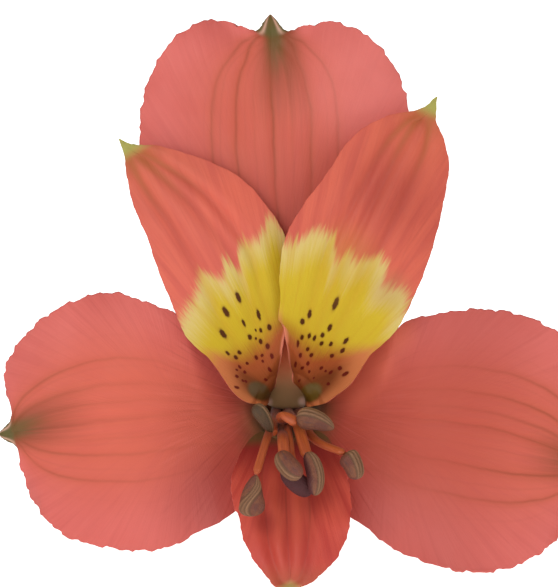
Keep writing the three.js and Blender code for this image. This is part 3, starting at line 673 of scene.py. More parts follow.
class Field:
    """What a node gives: a number, vector or colour at each point. Its arithmetic places more nodes."""

    def __init__(self, bench, socket):
        self.bench, self.socket = bench, socket

    def __add__(self, other):
        return self.bench.math("ADD", self, other)

    def __sub__(self, other):
        return self.bench.math("SUBTRACT", self, other)

    def __rsub__(self, other):
        return self.bench.math("SUBTRACT", other, self)

    def __mul__(self, other):
        return self.bench.math("MULTIPLY", self, other)

    def __truediv__(self, other):
        return self.bench.math("DIVIDE", self, other)

    def __abs__(self):
        return self.bench.math("ABSOLUTE", self)

    def smooth(self, low, high, to_low=0.0, to_high=1.0):
        """to_low at low, to_high at high, and the smooth S-shaped cubic between them."""
        values = (self, low, high, to_low, to_high)
        return self.bench.make("ShaderNodeMapRange", *values, interpolation_type="SMOOTHSTEP")

    def bell(self, centre, width):
        """1 at the centre, falling off as a bell curve of that width."""
        away = (self - centre) / width
        return self.bench.math("POWER", EULER, away * away * -1.0)


class Workbench:
    """Places nodes in one node tree. put holds the sockets that its results go to."""

    def __init__(self, tree):
        self.tree = tree
        self.put = None

    def node(self, kind, *values, **settings):
        """A new node with these settings, whose first inputs are fed with values."""
        made = self.tree.nodes.new(kind)
        for key, value in settings.items():
            setattr(made, key, value)
        for socket, value in zip(made.inputs, values):
            self.feed(socket, value)
        return made

    def make(self, kind, *values, output=0, **settings):
        return Field(self, self.node(kind, *values, **settings).outputs[output])

    def feed(self, socket, value):
        if isinstance(value, Field):
            self.tree.links.new(value.socket, socket)
        else:
            socket.default_value = value

    def attribute(self, label, part="Vector"):
        return self.make("ShaderNodeAttribute", attribute_name=label, output=part)

    def number(self, label):
        return self.attribute(label, "Fac")

    def place(self):
        return self.make("ShaderNodeTexCoord", output="Object")

    def split(self, vector):
        return [Field(self, socket) for socket in self.node("ShaderNodeSeparateXYZ", vector).outputs]

    def join(self, x, y, z=0.0):
        return self.make("ShaderNodeCombineXYZ", x, y, z)

    def math(self, operation, *values, clamp=False):
        return self.make("ShaderNodeMath", *values, operation=operation, use_clamp=clamp)

    def largest(self, first, second):
        return self.math("MAXIMUM", first, second)

    def vector(self, operation, *values, output=0):
        return self.make("ShaderNodeVectorMath", *values, operation=operation, output=output)

    def paint(self, colour, *coats):
        """A colour under coats of paint, the last on top: each is a mask and the colour that it lays on."""
        for mask, tint in coats:
            made = self.node("ShaderNodeMix", data_type="RGBA")
            for key, value in (("Factor", mask), (6, colour), (7, tint)):
                self.feed(made.inputs[key], value)
            colour = Field(self, made.outputs[2])
        return colour

    def noise(self, vector, scale, detail=3.0, rough=0.55, output="Fac"):
        made = self.node("ShaderNodeTexNoise")
        for label, value in (("Vector", vector), ("Scale", scale), ("Detail", detail), ("Roughness", rough)):
            self.feed(made.inputs[label], value)
        return Field(self, made.outputs[output])

    def curve(self, value, points):
        """A curve of value through the given points, whose coordinates run from 0 to 1."""
        made = self.node("ShaderNodeFloatCurve")
        line = made.mapping.curves[0]
        for spot, (x, y) in zip(line.points, (points[0], points[-1])):
            spot.location = (x, y)
        for x, y in points[1:-1]:
            line.points.new(x, y)
        made.mapping.update()
        self.feed(made.inputs["Value"], value)
        return Field(self, made.outputs[0])

    def group(self, tree, **values):
        """A node group's results by their names. Its inputs are given by theirs, with _ for each space."""
        made = self.node("ShaderNodeGroup", node_tree=tree)
        for key, value in values.items():
            self.feed(made.inputs[key.replace("_", " ")], value)
        return {socket.name: Field(self, socket) for socket in made.outputs}


def new_group(name, inputs, outputs):
    """An empty shader node group: inputs are name to default number or 3 zeros, outputs a list of names."""
    tree = bpy.data.node_groups.new(name, "ShaderNodeTree")
    for label, default in inputs.items():
        kind = "NodeSocketVector" if isinstance(default, tuple) else "NodeSocketFloat"
        socket = tree.interface.new_socket(label, in_out="INPUT", socket_type=kind)
        socket.default_value = default
    for label in outputs:
        tree.interface.new_socket(label, in_out="OUTPUT", socket_type="NodeSocketFloat")
    bench = Workbench(tree)
    bench.put = bench.node("NodeGroupOutput").inputs
    return bench, {socket.name: Field(bench, socket) for socket in bench.node("NodeGroupInput").outputs}


def new_material(name, **constants):
    """A material with one Principled shader; constants are its sockets' plain values."""
    material = bpy.data.materials.new(name)
    material.use_nodes = True
    material.node_tree.nodes.clear()
    bench = Workbench(material.node_tree)
    shader = bench.node("ShaderNodeBsdfPrincipled")
    output = bench.node("ShaderNodeOutputMaterial")
    bench.tree.links.new(shader.outputs[0], output.inputs["Surface"])
    bench.put = shader.inputs
    for key, value in constants.items():
        bench.feed(bench.put[key.replace("_", " ")], value)
    return material, bench


def make_line_group():
    """A line along a blade: a bell curve of the distance in millimetres from a place across the blade.

    The place glides from its middle value to its end value between two lengths along the blade.
    """
    bench, given = new_group(
        "lengthwise line",
        {"Blade": (0, 0, 0), "Middle": 0.0, "End": 0.0, "Width": 0.3, "Glide from": 0.45, "Glide to": 0.95},
        ["Line", "Halo"],
    )
    w, u, half = bench.split(given["Blade"])
    glide = u.smooth(given["Glide from"], given["Glide to"])
    gap = (w - (given["Middle"] + glide * (given["End"] - given["Middle"]))) * half
    bench.feed(bench.put["Line"], gap.bell(0.0, given["Width"]))
    bench.feed(bench.put["Halo"], gap.bell(0.0, given["Width"] * HALO_SPREAD))
    return bench.tree


def make_streak_group():
    """Fine streaks: noise stretched along the rays from a point on the rib, and along the blade itself."""
    bench, given = new_group(
        "streaks", {"Plan": (0, 0, 0), "Blade": (0, 0, 0), "Origin": 9.0, "Count": 40.0, "Seed": 0.0},
        ["Coarse", "Fine", "Lengthwise"],
    )
    along, across, _ = bench.split(given["Plan"])
    w, u, _ = bench.split(given["Blade"])
    seed = given["Seed"]
    ahead = along - given["Origin"]
    spread = bench.math("ARCTAN2", across, ahead) * given["Count"]
    reach = bench.math("SQRT", across * across + ahead * ahead)
    bench.feed(bench.put["Coarse"], bench.noise(bench.join(spread * 0.3, reach * 0.06, seed), 1.0))
    bench.feed(bench.put["Fine"], bench.noise(bench.join(spread, reach * 0.12, seed), 1.0, 2.0))
    bench.feed(bench.put["Lengthwise"], bench.noise(bench.join(w * 42.0, u * 4.0, seed), 1.0))
    return bench.tree


def make_tissue_group():
    """The skin of a petal or leaf: slow mottling, and a fine relief of tiny cells."""
    bench, given = new_group("living tissue", {"Place": (0, 0, 0), "Cells": 1.0}, ["Mottle", "Cells"])
    cells = bench.node("ShaderNodeTexVoronoi", given["Place"], feature="F1")
    cells.inputs["Scale"].default_value = CELL_SCALE
    bench.feed(bench.put["Mottle"], bench.noise(given["Place"], MOTTLE_SCALE, 3.0, 0.5))
    bench.feed(bench.put["Cells"], Field(bench, cells.outputs["Distance"]) * given["Cells"])
    return bench.tree


LINE = make_line_group()
STREAKS = make_streak_group()
TISSUE = make_tissue_group()


# ---------- materials ----------

def leaf_like(name, **constants):
    """A material for thin living tissue: soft satin skin, with a little light let through."""
    settings = dict(
        Subsurface_Weight=0.12, Subsurface_Radius=(0.6, 0.35, 0.25), Subsurface_Scale=0.0005,
        Specular_IOR_Level=0.3, Sheen_Weight=0.06, Sheen_Roughness=0.4,
    )
    settings.update(constants)
    return new_material(name, **settings)


def lines(bench, blade_at, table, width, glide=(0.45, 0.95)):
    """The strongest of several lengthwise lines, and of their halos. Rows: middle, end, strength."""
    line, halo = 0.0, 0.0
    shared = dict(Blade=blade_at, Width=width, Glide_from=glide[0], Glide_to=glide[1])
    for middle, end, strength in table:
        made = bench.group(LINE, Middle=middle, End=end, **shared)
        line = bench.largest(line, made["Line"] * strength)
        halo = bench.largest(halo, made["Halo"] * strength)
    return line, halo


def groove_lines(bench, blade_at, name, width):
    """The lines of a tepal's own grooves, and their halos."""
    return lines(bench, blade_at, [(middle, end, 1.0) for middle, end, _ in TEPALS[name]["grooves"]], width)


def spot_field(bench, place, spots):
    """How far a place lies from the nearest spot, in half-spots. Each spot is an oval aimed at the throat."""
    nearest = NO_SPOT
    for x, y, length, width in spots:
        oval = bench.node("ShaderNodeMapping", place, vector_type="TEXTURE")
        oval.inputs["Location"].default_value = (x, y, 0)
        oval.inputs["Rotation"].default_value = (0, 0, -SPOT_LEAN * np.arctan2(x, y))
        oval.inputs["Scale"].default_value = (width / 2, length / 2, 1000)
        away = bench.vector("LENGTH", Field(bench, oval.outputs[0]), output="Value")
        nearest = bench.math("MINIMUM", nearest, away)
    return nearest


def soft_patches(bench, face, patches):
    """Coats of paint for wide soft patches. Rows: place on the face, size, strength and colour."""
    return [
        (spot_field(bench, face, [(x, y, 2 * size, 2 * size)]).smooth(1.0, 0.1, 0.0, strength), tint)
        for x, y, size, strength, tint in patches
    ]


def two_faces(bench, front, back):
    """The colour of a blade whose front differs from its back."""
    return bench.paint(back, (bench.number("front"), front))


def skin(bench, colour, cells, relief, roughness, mottled=None):
    """Finishes a skin: its colour, cells and relief as a bump, and roughness that varies with the mottling.

    mottled is the colour of a last faint coat where the mottling is strong, if there is one.
    """
    tissue = bench.group(TISSUE, Place=bench.place(), Cells=cells)
    if mottled:
        colour = bench.paint(colour, (tissue["Mottle"].smooth(0.35, 0.75, 0.0, 0.16), mottled))
    bump = bench.node("ShaderNodeBump")
    bump.inputs["Strength"].default_value = RELIEF_STRENGTH
    bump.inputs["Distance"].default_value = RELIEF_DEPTH
    bench.feed(bump.inputs["Height"], tissue["Cells"] + relief)
    bench.feed(bench.put["Normal"], Field(bench, bump.outputs[0]))
    bench.feed(bench.put["Roughness"], tissue["Mottle"].smooth(0.3, 0.7, *roughness))
    bench.feed(bench.put["Base Color"], colour)


SEPAL_CORE = tone(208, 96, 76)
SEPAL_EDGE = tone(216, 105, 96)
SEPAL_STREAK = tone(196, 88, 80)
SEPAL_PALE = tone(224, 122, 110)
SEPAL_VEIN = tone(154, 70, 40)
SEPAL_HALO = tone(192, 86, 58)
# a deeper red: for the streaks near the throat, and as painted shade on the right sepal's inner half and on
# the right petal
SEPAL_DEEP_AND_SHADE = tone(150, 50, 40)
# painted shade: a darker rose for where a sepal lies beside the lip or behind the petals
SEPAL_SHADE = tone(160, 66, 60)
# painted light: a paler coral laid on the upper sepal's right lobe
SEPAL_LOBE_PAINTED_LIGHT = tone(240, 134, 126)
# painted light: a paler coral laid where the right petal casts its shadow on the right sepal
CLAW_PAINTED_LIGHT = tone(242, 126, 98)
# painted glints: small pale marks on the upper sepal's claw beside the throat
CLAW_PAINTED_GLINT = tone(255, 222, 200)
SEPAL_WARM = tone(230, 108, 84)
SEPAL_RUSSET = tone(186, 70, 46)
TIP_BROWN = tone(146, 70, 40)
TIP_OLIVE = tone(94, 84, 36)
# painted highlight: a pale band along the fold of a sepal's tip
TIP_PAINTED_HIGHLIGHT = tone(200, 156, 132)
BACK_CORAL = tone(226, 128, 112)
BACK_GREEN = tone(140, 140, 78)
TOP_VEINS = [(0, 0, 1.0), (0.28, 0.58, 0.85), (-0.28, -0.58, 0.85), (0.46, 0.66, 0.6), (-0.48, -0.68, 0.65)]
LEFT_VEINS = [
    (0.035, 0.02, 0.9), (0.29, 0.25, 0.8), (-0.25, -0.24, 0.85), (0.49, 0.4, 0.6), (-0.46, -0.42, 0.8),
    (-0.11, -0.1, 0.7), (0.17, 0.15, 0.5),
]
RIGHT_VEINS = [
    (0, 0, 0.9), (0.28, 0.24, 0.8), (-0.28, -0.25, 0.85), (0.49, 0.4, 0.6), (-0.5, -0.42, 0.7),
    (0.13, 0.12, 0.5),
]
FAINT_VEINS = [
    (0.14, 0.12, 0.5), (-0.14, -0.12, 0.5), (0.4, 0.34, 0.35), (-0.4, -0.34, 0.35), (0.64, 0.52, 0.15),
    (-0.64, -0.52, 0.15), (0.21, 0.17, 0.3), (-0.21, -0.17, 0.3), (0.07, 0.06, 0.3), (-0.07, -0.06, 0.3),
]


def make_sepal_material(name, seed, tip, base, veins, glide, olive, patches, depth=0.0):
    """A sepal: coral with a pinker margin, streaks that fan out, arching veins and an olive tip with a
    painted highlight along its fold.

    tip is how far out the sepal ends. base is the colour of its claw, how far it reaches, and the colour
    deep inside. veins lists its main veins, and glide the two lengths between which they close up. olive
    is how far the olive runs down from the tip, its shift to one side and how much more it shifts with
    each millimetre. patches lists wide soft patches: place on the face, size, strength and colour; most
    of them are painted shade, painted light and painted glints. depth is how much the inner half is
    darkened, a painted shade.
    """
    material, bench = leaf_like(name)
    blade_at, plan, face = bench.attribute("blade"), bench.attribute("plan"), bench.attribute("face")
    w, u, half = bench.split(blade_at)
    along, across, _ = bench.split(plan)
    out = abs(w)
    streaks = bench.group(STREAKS, Plan=plan, Blade=blade_at, Origin=14.0, Count=70.0, Seed=seed)
    fine, lengthwise = streaks["Fine"], streaks["Lengthwise"]
    fanned = out.smooth(0.35, 0.95, 0.04, 0.24)
    bent = (bench.noise(plan, 0.22, 2.0) - 0.5) * 0.04 + w
    vein_at = bench.join(bent, u, half)
    line, halo = lines(bench, vein_at, veins, 0.22, glide)
    faint, _ = lines(bench, vein_at, FAINT_VEINS, 0.17, glide)
    fading = u.smooth(0.36, 0.62, 0.16, 1.0)
    broken = fading * lengthwise.smooth(0.3, 0.6, 0.55, 1.0)
    rays = bench.group(STREAKS, Plan=plan, Blade=blade_at, Origin=3.0, Count=34.0, Seed=seed + 20)["Fine"]
    near = along.smooth(22.0, 11.0, 0.0, 0.42)
    base_colour, base_reach, deep_colour = base
    left = tip - (along + (lengthwise - 0.5) * 5.0)
    reach, lean, slope = olive
    middle = across - left * slope
    wedge = abs(middle - lean).smooth(left * 0.2 + 3.2, 0.8) * left.smooth(reach, 0.22 * reach)
    heart = abs(middle - 0.4 * lean).smooth(1.9, 0.3) * left.smooth(0.55 * reach, 0.15 * reach)
    # painted highlight: a pale band over the olive along the folded tip
    beak_with_highlight = bench.paint(TIP_OLIVE, (out.bell(0.62, 0.16), TIP_PAINTED_HIGHLIGHT))
    front = bench.paint(
        SEPAL_CORE,
        (out.smooth(0.25, 0.9), SEPAL_EDGE),
        (streaks["Coarse"].smooth(0.42, 0.72) * 0.3, SEPAL_STREAK),
        (fine.smooth(0.5, 0.8) * fanned, SEPAL_STREAK),
        (fine.smooth(0.5, 0.2) * fanned, SEPAL_PALE),
        (lengthwise.smooth(0.5, 0.75) * out.smooth(0.8, 0.4, 0.05, 0.28), SEPAL_STREAK),
        (halo * 0.6 * fading, SEPAL_HALO),
        (faint * 0.34 * broken, SEPAL_VEIN),
        (line * 0.75 * broken, SEPAL_VEIN),
        (rays.smooth(0.52, 0.78) * near, SEPAL_DEEP_AND_SHADE),
        (rays.smooth(0.48, 0.25) * near, SEPAL_PALE),
        # painted shade: the inner half darkened by depth
        (along.smooth(0.85 * tip, 0.5 * tip, 0.0, depth), SEPAL_DEEP_AND_SHADE),
        (1.0 - along.smooth(0.35 * base_reach, base_reach), base_colour),
        (along.smooth(0.55 * base_reach, 0.1 * base_reach), deep_colour),
        *soft_patches(bench, face, patches),
        (wedge * 0.92, TIP_BROWN),
        (heart * 0.8, TIP_OLIVE),
        (half.smooth(3.0, 1.7), beak_with_highlight),
    )
    back = bench.paint(
        BACK_CORAL,
        (w.bell(0.0, 0.13), BACK_GREEN),
        (halo * 0.35, SEPAL_HALO),
        (u.smooth(0.79, 0.85), TIP_OLIVE),
    )
    relief = line * fading * -0.5 + fine * 0.6
    skin(bench, two_faces(bench, front, back), 0.1, relief, (0.48, 0.62), mottled=SEPAL_STREAK)
    return material


# a darker red: for fine streaks, and as painted shade in the grooves
PETAL_STREAK_AND_GROOVE_SHADE = tone(178, 76, 62)
GROOVE_OLIVE = tone(170, 94, 52)
TIP_LIME = tone(166, 160, 82)
YELLOW = tone(204, 174, 38)
YELLOW_DEEP = tone(198, 156, 36)
YELLOW_PALE = tone(212, 187, 114)
# painted shade: a duller yellow laid on the right petal's outer yellow
YELLOW_PAINTED_SHADE = tone(176, 134, 84)
BASE_ORANGE = tone(168, 84, 42)
BASE_BROWN = tone(122, 60, 24)
BASE_AMBER = tone(166, 80, 38)
BASE_PEACH = tone(206, 122, 72)
RIM_PEACH = tone(226, 134, 108)
SPOT = tone(72, 22, 0)
SPOT_RED = tone(98, 14, 4)

# The guides on the two upper petals, on the face of the bloom. Bearings are in degrees round the throat,
# and distances in millimetres from it: edge is the flame's outer border, and orange where its yellow turns
# to orange. nectary is the middle of the gland, gland its colour, and inner the side across the blade, -1 or
# 1, that faces the other one of the two. Spots are ovals: their place, length and width.
FLAMES = {
    "petal_left": dict(
        bearings=(86.0, 146.0),
        edge=[(87, 23), (91.7, 23.2), (95, 25.2), (98.6, 23.4), (103, 22.7), (107.4, 22.4), (109.5, 19.2),
              (113.4, 20.9), (117.4, 19.1), (122.6, 21.1), (128, 19.6), (139, 18.4), (145, 18)],
        orange=[(87, 12.4), (93, 11.7), (99, 10.8), (110, 9.2), (122, 9.0), (136, 9.4), (141, 10.4),
                (145, 12)],
        nectary=(-4.06, 1.8), gland=tone(88, 62, 24), inner=-1.0,
        spots=[
            (-6.7, 14.5, 1.6, 0.54), (-8.3, 12.6, 1.6, 0.67), (-8.8, 9.6, 1.5, 0.67), (-6.0, 11.1, 1.1, 0.4),
            (-4.0, 12.2, 1.6, 0.47), (-2.5, 10.5, 0.9, 0.67), (-4.4, 10.1, 0.5, 0.27),
            (-3.7, 10.1, 0.7, 0.4), (-5.2, 9.2, 0.8, 0.54), (-4.4, 9.0, 0.4, 0.34), (-3.7, 8.6, 0.8, 0.54),
            (-2.7, 7.9, 0.9, 0.67), (-8.2, 7.0, 0.8, 0.4), (-6.6, 7.1, 0.7, 0.54), (-7.1, 6.4, 0.7, 0.54),
            (-4.3, 6.4, 0.7, 0.47), (-3.5, 6.7, 0.5, 0.47), (-2.1, 6.6, 0.8, 0.54), (-3.4, 5.9, 0.5, 0.4),
            (-5.6, 5.6, 0.5, 0.4), (-6.6, 5.1, 0.7, 0.4), (-7.0, 4.7, 0.5, 0.27), (-5.9, 4.4, 0.5, 0.47),
            (-2.5, 4.8, 0.7, 0.4), (-7.0, 3.8, 0.6, 0.4), (-6.2, 3.2, 0.5, 0.34), (-5.8, 3.1, 0.5, 0.34),
            (-7.0, 2.3, 0.7, 0.4), (-3.1, 3.4, 0.5, 0.4),
        ],
    ),
    "petal_right": dict(
        bearings=(34.0, 98.0),
        edge=[(35, 19), (39, 20.2), (44.4, 22), (50.8, 20.4), (57.8, 23.6), (64.9, 21.2), (68.6, 22),
              (71.5, 20.2), (74.4, 23.5), (80, 23.4), (85.9, 22.2), (92.4, 21.4), (97, 21)],
        orange=[(35, 13.5), (40, 11.4), (48, 9.8), (60, 8.4), (73, 8.4), (80, 9.0), (88, 10), (97, 11)],
        nectary=(3.27, 1.6), gland=tone(98, 74, 20), inner=1.0,
        spots=[
            (6.4, 13.7, 2.0, 0.6), (2.9, 12.3, 1.3, 0.6), (1.9, 11.3, 0.9, 0.67), (5.6, 10.5, 1.1, 0.54),
            (1.9, 9.2, 0.8, 0.54), (2.9, 9.4, 0.8, 0.47), (3.6, 9.1, 0.8, 0.47), (4.7, 9.5, 0.7, 0.54),
            (1.3, 8.3, 1.1, 0.47), (4.6, 8.4, 0.7, 0.54), (5.8, 8.3, 0.7, 0.54), (7.8, 8.7, 1.1, 0.54),
            (2.7, 7.6, 0.7, 0.54), (7.4, 7.4, 0.9, 0.54), (1.6, 6.7, 0.7, 0.54), (3.2, 6.8, 0.7, 0.54),
            (6.0, 6.7, 0.7, 0.6), (1.1, 5.5, 0.9, 0.4), (2.7, 5.6, 0.7, 0.47), (2.0, 5.0, 0.5, 0.4),
            (4.6, 5.0, 0.7, 0.4), (7.1, 5.0, 0.7, 0.6), (5.2, 4.6, 0.4, 0.34), (5.9, 4.4, 0.8, 0.47),
            (2.9, 4.5, 0.5, 0.4), (7.8, 4.2, 1.1, 0.54), (5.6, 2.8, 0.5, 0.47), (1.7, 3.2, 0.5, 0.27),
            (3.6, 3.6, 0.4, 0.27),
        ],
    ),
}
FLAME_SPAN = 30.0  # the distance that a border's curve has at its top


def make_petal_material(name, seed, tip, coral, rose, patches):
    """An upper petal: coral with grooves painted darker as painted shade, a yellow flame with ragged streaks,
    dark spots, a green gland.
    """
    flame = FLAMES[name]
    material, bench = leaf_like(name + " skin", Coat_Roughness=0.2, Specular_IOR_Level=0.18, Sheen_Weight=0.0)
    blade_at, plan, face = bench.attribute("blade"), bench.attribute("plan"), bench.attribute("face")
    w, u, _ = bench.split(blade_at)
    along, _, _ = bench.split(plan)
    x, y, _ = bench.split(face)
    streaks = bench.group(STREAKS, Plan=plan, Blade=blade_at, Origin=-6.0, Count=90.0, Seed=seed)
    coarse, fine = streaks["Coarse"], streaks["Fine"]
    line, halo = groove_lines(bench, blade_at, name, 0.7)
    faint, _ = lines(bench, blade_at, [(0.6, 0.62, 0.5), (-0.62, -0.64, 0.5), (0, 0.3, 0.3)], 0.16)
    # painted shade: the grooves and faint lines painted darker, olive towards the tip
    dark = bench.paint(PETAL_STREAK_AND_GROOVE_SHADE, (along.smooth(tip - 14, tip - 4), GROOVE_OLIVE))
    groove = bench.largest(halo * 0.3, line) * u.smooth(0.5, 0.72, 0.0, 0.72)
    lime = along.smooth(tip - 3.4, tip - 1.5)

    radius = bench.math("SQRT", x * x + y * y)
    bearing = bench.math("DEGREES", bench.math("ARCTAN2", y, x))
    low, high = flame["bearings"]
    turned = bench.math("DIVIDE", bearing - low, high - low, clamp=True)
    edge, orange = [
        bench.curve(turned, [((b - low) / (high - low), r / FLAME_SPAN) for b, r in border]) * FLAME_SPAN
        for border in (flame["edge"], flame["orange"])
    ]
    ragged = fine * 3.6 + streaks["Lengthwise"] * 1.6
    inside = edge + ragged - radius - 2.5
    yellow = bench.paint(
        YELLOW_PALE,
        (inside.smooth(0.4, 5.4), YELLOW),
        (bench.largest(line, coarse.smooth(0.5, 0.72)) * 0.45, YELLOW_DEEP),
    )
    inner = orange - radius + (fine - 0.5) * 1.6
    base = bench.paint(
        BASE_AMBER,
        (inner.smooth(0.0, 3.5), BASE_ORANGE),
        (inner.smooth(1.5, 6.5), BASE_BROWN),
        ((w * -flame["inner"]).smooth(0.35, 0.95, 0.0, 0.85), BASE_PEACH),
    )
    rim = (w * flame["inner"]).smooth(0.86, 0.99) * radius.smooth(14.0, 9.0, 0.0, 0.8)

    gland = spot_field(bench, face, [(*flame["nectary"], 3.0, 2.2)])
    shift = bench.noise(face, 2.2, 2.0, 0.5, output="Color")
    drift = bench.vector("MULTIPLY_ADD", shift, (0.22, 0.22, 0.0), face)
    spots = spot_field(bench, bench.vector("SUBTRACT", drift, (0.11, 0.11, 0.0)), flame["spots"])
    spot = bench.paint(SPOT, (inner.smooth(-1.0, 2.0), SPOT_RED))
    front = bench.paint(
        coral,
        (coarse.smooth(0.35, 0.7), rose),
        (fine.smooth(0.5, 0.8, 0.0, 0.25), PETAL_STREAK_AND_GROOVE_SHADE),
        (bench.largest(groove, faint * 0.3), dark),
        ((along + halo * 2.0).smooth(tip - 4.5, tip - 0.5) * 0.6, GROOVE_OLIVE),
        (lime, TIP_LIME),
        (inside.smooth(-1.1, 1.3), yellow),
        (inner.smooth(-2.6, 2.2), base),
        (rim, RIM_PEACH),
        (gland.smooth(1.35, 0.8), flame["gland"]),
        (spots.smooth(1.7, 0.7, 0.0, 0.35), BASE_BROWN),
        (spots.smooth(1.15, 0.7, 0.0, 0.95), spot),
        *soft_patches(bench, face, patches),
    )
    back = bench.paint(BACK_CORAL, (w.bell(0.0, 0.2), BACK_GREEN), (lime, TIP_LIME))
    bench.feed(bench.put["Coat Weight"], gland.smooth(1.2, 0.8, 0.0, 0.3))
    relief = fine * 0.8 + gland.smooth(1.2, 0.2, 0.0, 5.0)
    skin(bench, two_faces(bench, front, back), 0.12, relief, (0.42, 0.56))
    return material


LIP_RED = tone(216, 88, 70)
# a deeper red: for the streaks, and as painted shade over the lip's outer part
LIP_DEEP_AND_SHADE = tone(190, 64, 54)
# painted light on the lip's ridges, and painted shade in its grooves
LIP_RIDGE_PAINTED_LIGHT = tone(218, 98, 72)
LIP_GROOVE_PAINTED_SHADE = tone(132, 58, 42)
LIP_SHADE = tone(146, 36, 34)
LIP_BASE = tone(104, 80, 42)
LIP_TIP = tone(190, 176, 104)
LIP_WANING = tone(176, 92, 60)
# painted shadows that the anthers cast on the lip
LIP_SHADOW_PATCHES = [
    (-3.1, -15.4, 2.4, 0.5, LIP_SHADE), (-1.4, -12.2, 2.6, 0.2, LIP_SHADE), (4.0, -11.8, 3.4, 0.4, LIP_SHADE),
]


def make_lip_material():
    """The lower petal: deep red, with grooves painted dark and ridges painted paler as painted shade and
    light, painted shade towards the throat, on its outer part and under the anthers, and a pale green tip.
    """
    material, bench = leaf_like("petal_lower skin")
    blade_at, plan, face = bench.attribute("blade"), bench.attribute("plan"), bench.attribute("face")
    w, _, half = bench.split(blade_at)
    along, _, _ = bench.split(plan)
    streaks = bench.group(STREAKS, Plan=plan, Blade=blade_at, Origin=-4.0, Count=60.0, Seed=7.0)
    ridges, _ = lines(bench, blade_at, [(0.14, 0.12, 1.0), (-0.26, -0.28, 1.0)], 0.8)
    line, halo = groove_lines(bench, blade_at, "petal_lower", 0.34)
    front = bench.paint(
        LIP_RED,
        (streaks["Coarse"].smooth(0.35, 0.7), LIP_DEEP_AND_SHADE),
        # painted light on the ridges and painted shade in the grooves
        (ridges * 0.6, LIP_RIDGE_PAINTED_LIGHT),
        (bench.largest(halo * 0.5, line) * 0.5, LIP_GROOVE_PAINTED_SHADE),
        (streaks["Fine"].smooth(0.5, 0.8, 0.0, 0.3), LIP_DEEP_AND_SHADE),
        # painted shade: darker towards the throat and over the outer part, with painted shadows under the
        # anthers
        (along.smooth(11.5, 5.5, 0.0, 0.85), LIP_SHADE),
        (along.smooth(14.0, 20.0, 0.0, 0.6), LIP_DEEP_AND_SHADE),
        *soft_patches(bench, face, LIP_SHADOW_PATCHES),
        (along.smooth(6.3, 4.6, 0.0, 0.9), LIP_BASE),
        (along.smooth(20.0, 23.2, 0.0, 0.5), LIP_WANING),
        ((along - abs(w) * half * 0.6).smooth(22.2, 23.9, 0.0, 0.85), LIP_TIP),
    )
    back = bench.paint(BACK_CORAL, (w.bell(0.0, 0.2), BACK_GREEN))
    skin(bench, two_faces(bench, front, back), 0.25, streaks["Fine"] * 0.8, (0.42, 0.56))
    return material


FILAMENT_ORANGE = tone(184, 86, 42)
FILAMENT_DARK = tone(128, 52, 28)
FILAMENT_PALE = tone(204, 106, 56)
ANTHER_BROWN = tone(136, 84, 56)
ANTHER_DARK = tone(82, 58, 56)
ANTHER_PALE = tone(172, 126, 92)
ANTHER_PURPLE = tone(114, 62, 48)
ANTHER_FURROW = tone(100, 66, 42)
ANTHER_GREEN = tone(70, 60, 38)
ANTHER_NIGHT = tone(78, 34, 36)


def stalk_streaks(bench, scale):
    """Noise drawn out along a stalk, round which it runs."""
    return bench.noise(bench.join(bench.number("around") * 2.0, bench.number("lengthwise") * 5.0), scale)


def make_filament_material():
    """Filaments: waxy orange, streaked lengthwise, and dark except towards their ends."""
    material, bench = leaf_like("orange filament", Coat_Weight=0.15, Coat_Roughness=0.3)
    streak = stalk_streaks(bench, 1.4)
    colour = bench.paint(
        FILAMENT_ORANGE,
        (streak.smooth(0.3, 0.8, 0.0, 0.4), FILAMENT_DARK),
        (streak.smooth(0.5, 0.25, 0.0, 0.35), FILAMENT_PALE),
        (bench.number("lengthwise").smooth(0.95, 0.6, 0.0, 0.85), FILAMENT_DARK),
    )
    skin(bench, colour, 0.5, streak * 0.6, (0.34, 0.5))
    return material


def make_anther_material():
    """Anthers: a smooth purple-brown back, and pale ridges with dark olive furrows between them."""
    material, bench = leaf_like("anther sac", Subsurface_Weight=0.05, Sheen_Weight=0.0)
    across, sideways, t = bench.split(bench.attribute("facing"))
    turned = bench.math("ARCTAN2", sideways, across)
    blotch = bench.noise(bench.place(), 700.0, 4.0, 0.6)
    streak = bench.noise(bench.join(across * 3.0, sideways * 3.0, t * 1.6), 1.6)
    tint = bench.number("tint")
    ridge = 0.0
    for position in RIDGE_PLACES:
        ridge = bench.largest(ridge, turned.bell(np.radians(position), 0.17))
    colour = bench.paint(
        ANTHER_PURPLE,
        (blotch.smooth(0.35, 0.68), ANTHER_BROWN),
        (streak.smooth(0.45, 0.7, 0.0, 0.6), ANTHER_DARK),
        (abs(turned).smooth(0.95, 0.65), ANTHER_FURROW),
        (tint.smooth(0.0, 1.0, 0.0, 0.75), ANTHER_GREEN),
        (ridge * streak.smooth(0.2, 0.6, 0.8, 0.4), ANTHER_PALE),
        (tint.smooth(0.0, -1.0), ANTHER_NIGHT),
    )
    skin(bench, colour, 1.4, streak * 0.8, (0.42, 0.6))
    return material


STYLE_BROWN = tone(160, 74, 38)
STYLE_PALE = tone(176, 84, 44)
GREEN = tone(110, 144, 64)
GREEN_DEEP = tone(80, 114, 48)
GREEN_PALE = tone(150, 172, 104)
GREEN_RED = tone(132, 88, 62)
GREEN_UNDER = tone(128, 152, 104)


def make_style_material():
    """The style: orange-brown, paler at its lobes."""
    material, bench = leaf_like("style")
    streak = stalk_streaks(bench, 1.2)
    colour = bench.paint(
        STYLE_BROWN,
        (bench.number("lengthwise").smooth(0.2, 0.9), STYLE_PALE),
        (streak.smooth(0.45, 0.75, 0.0, 0.4), FILAMENT_DARK),
    )
    skin(bench, colour, 0.5, streak * 0.5, (0.4, 0.5))
    return material


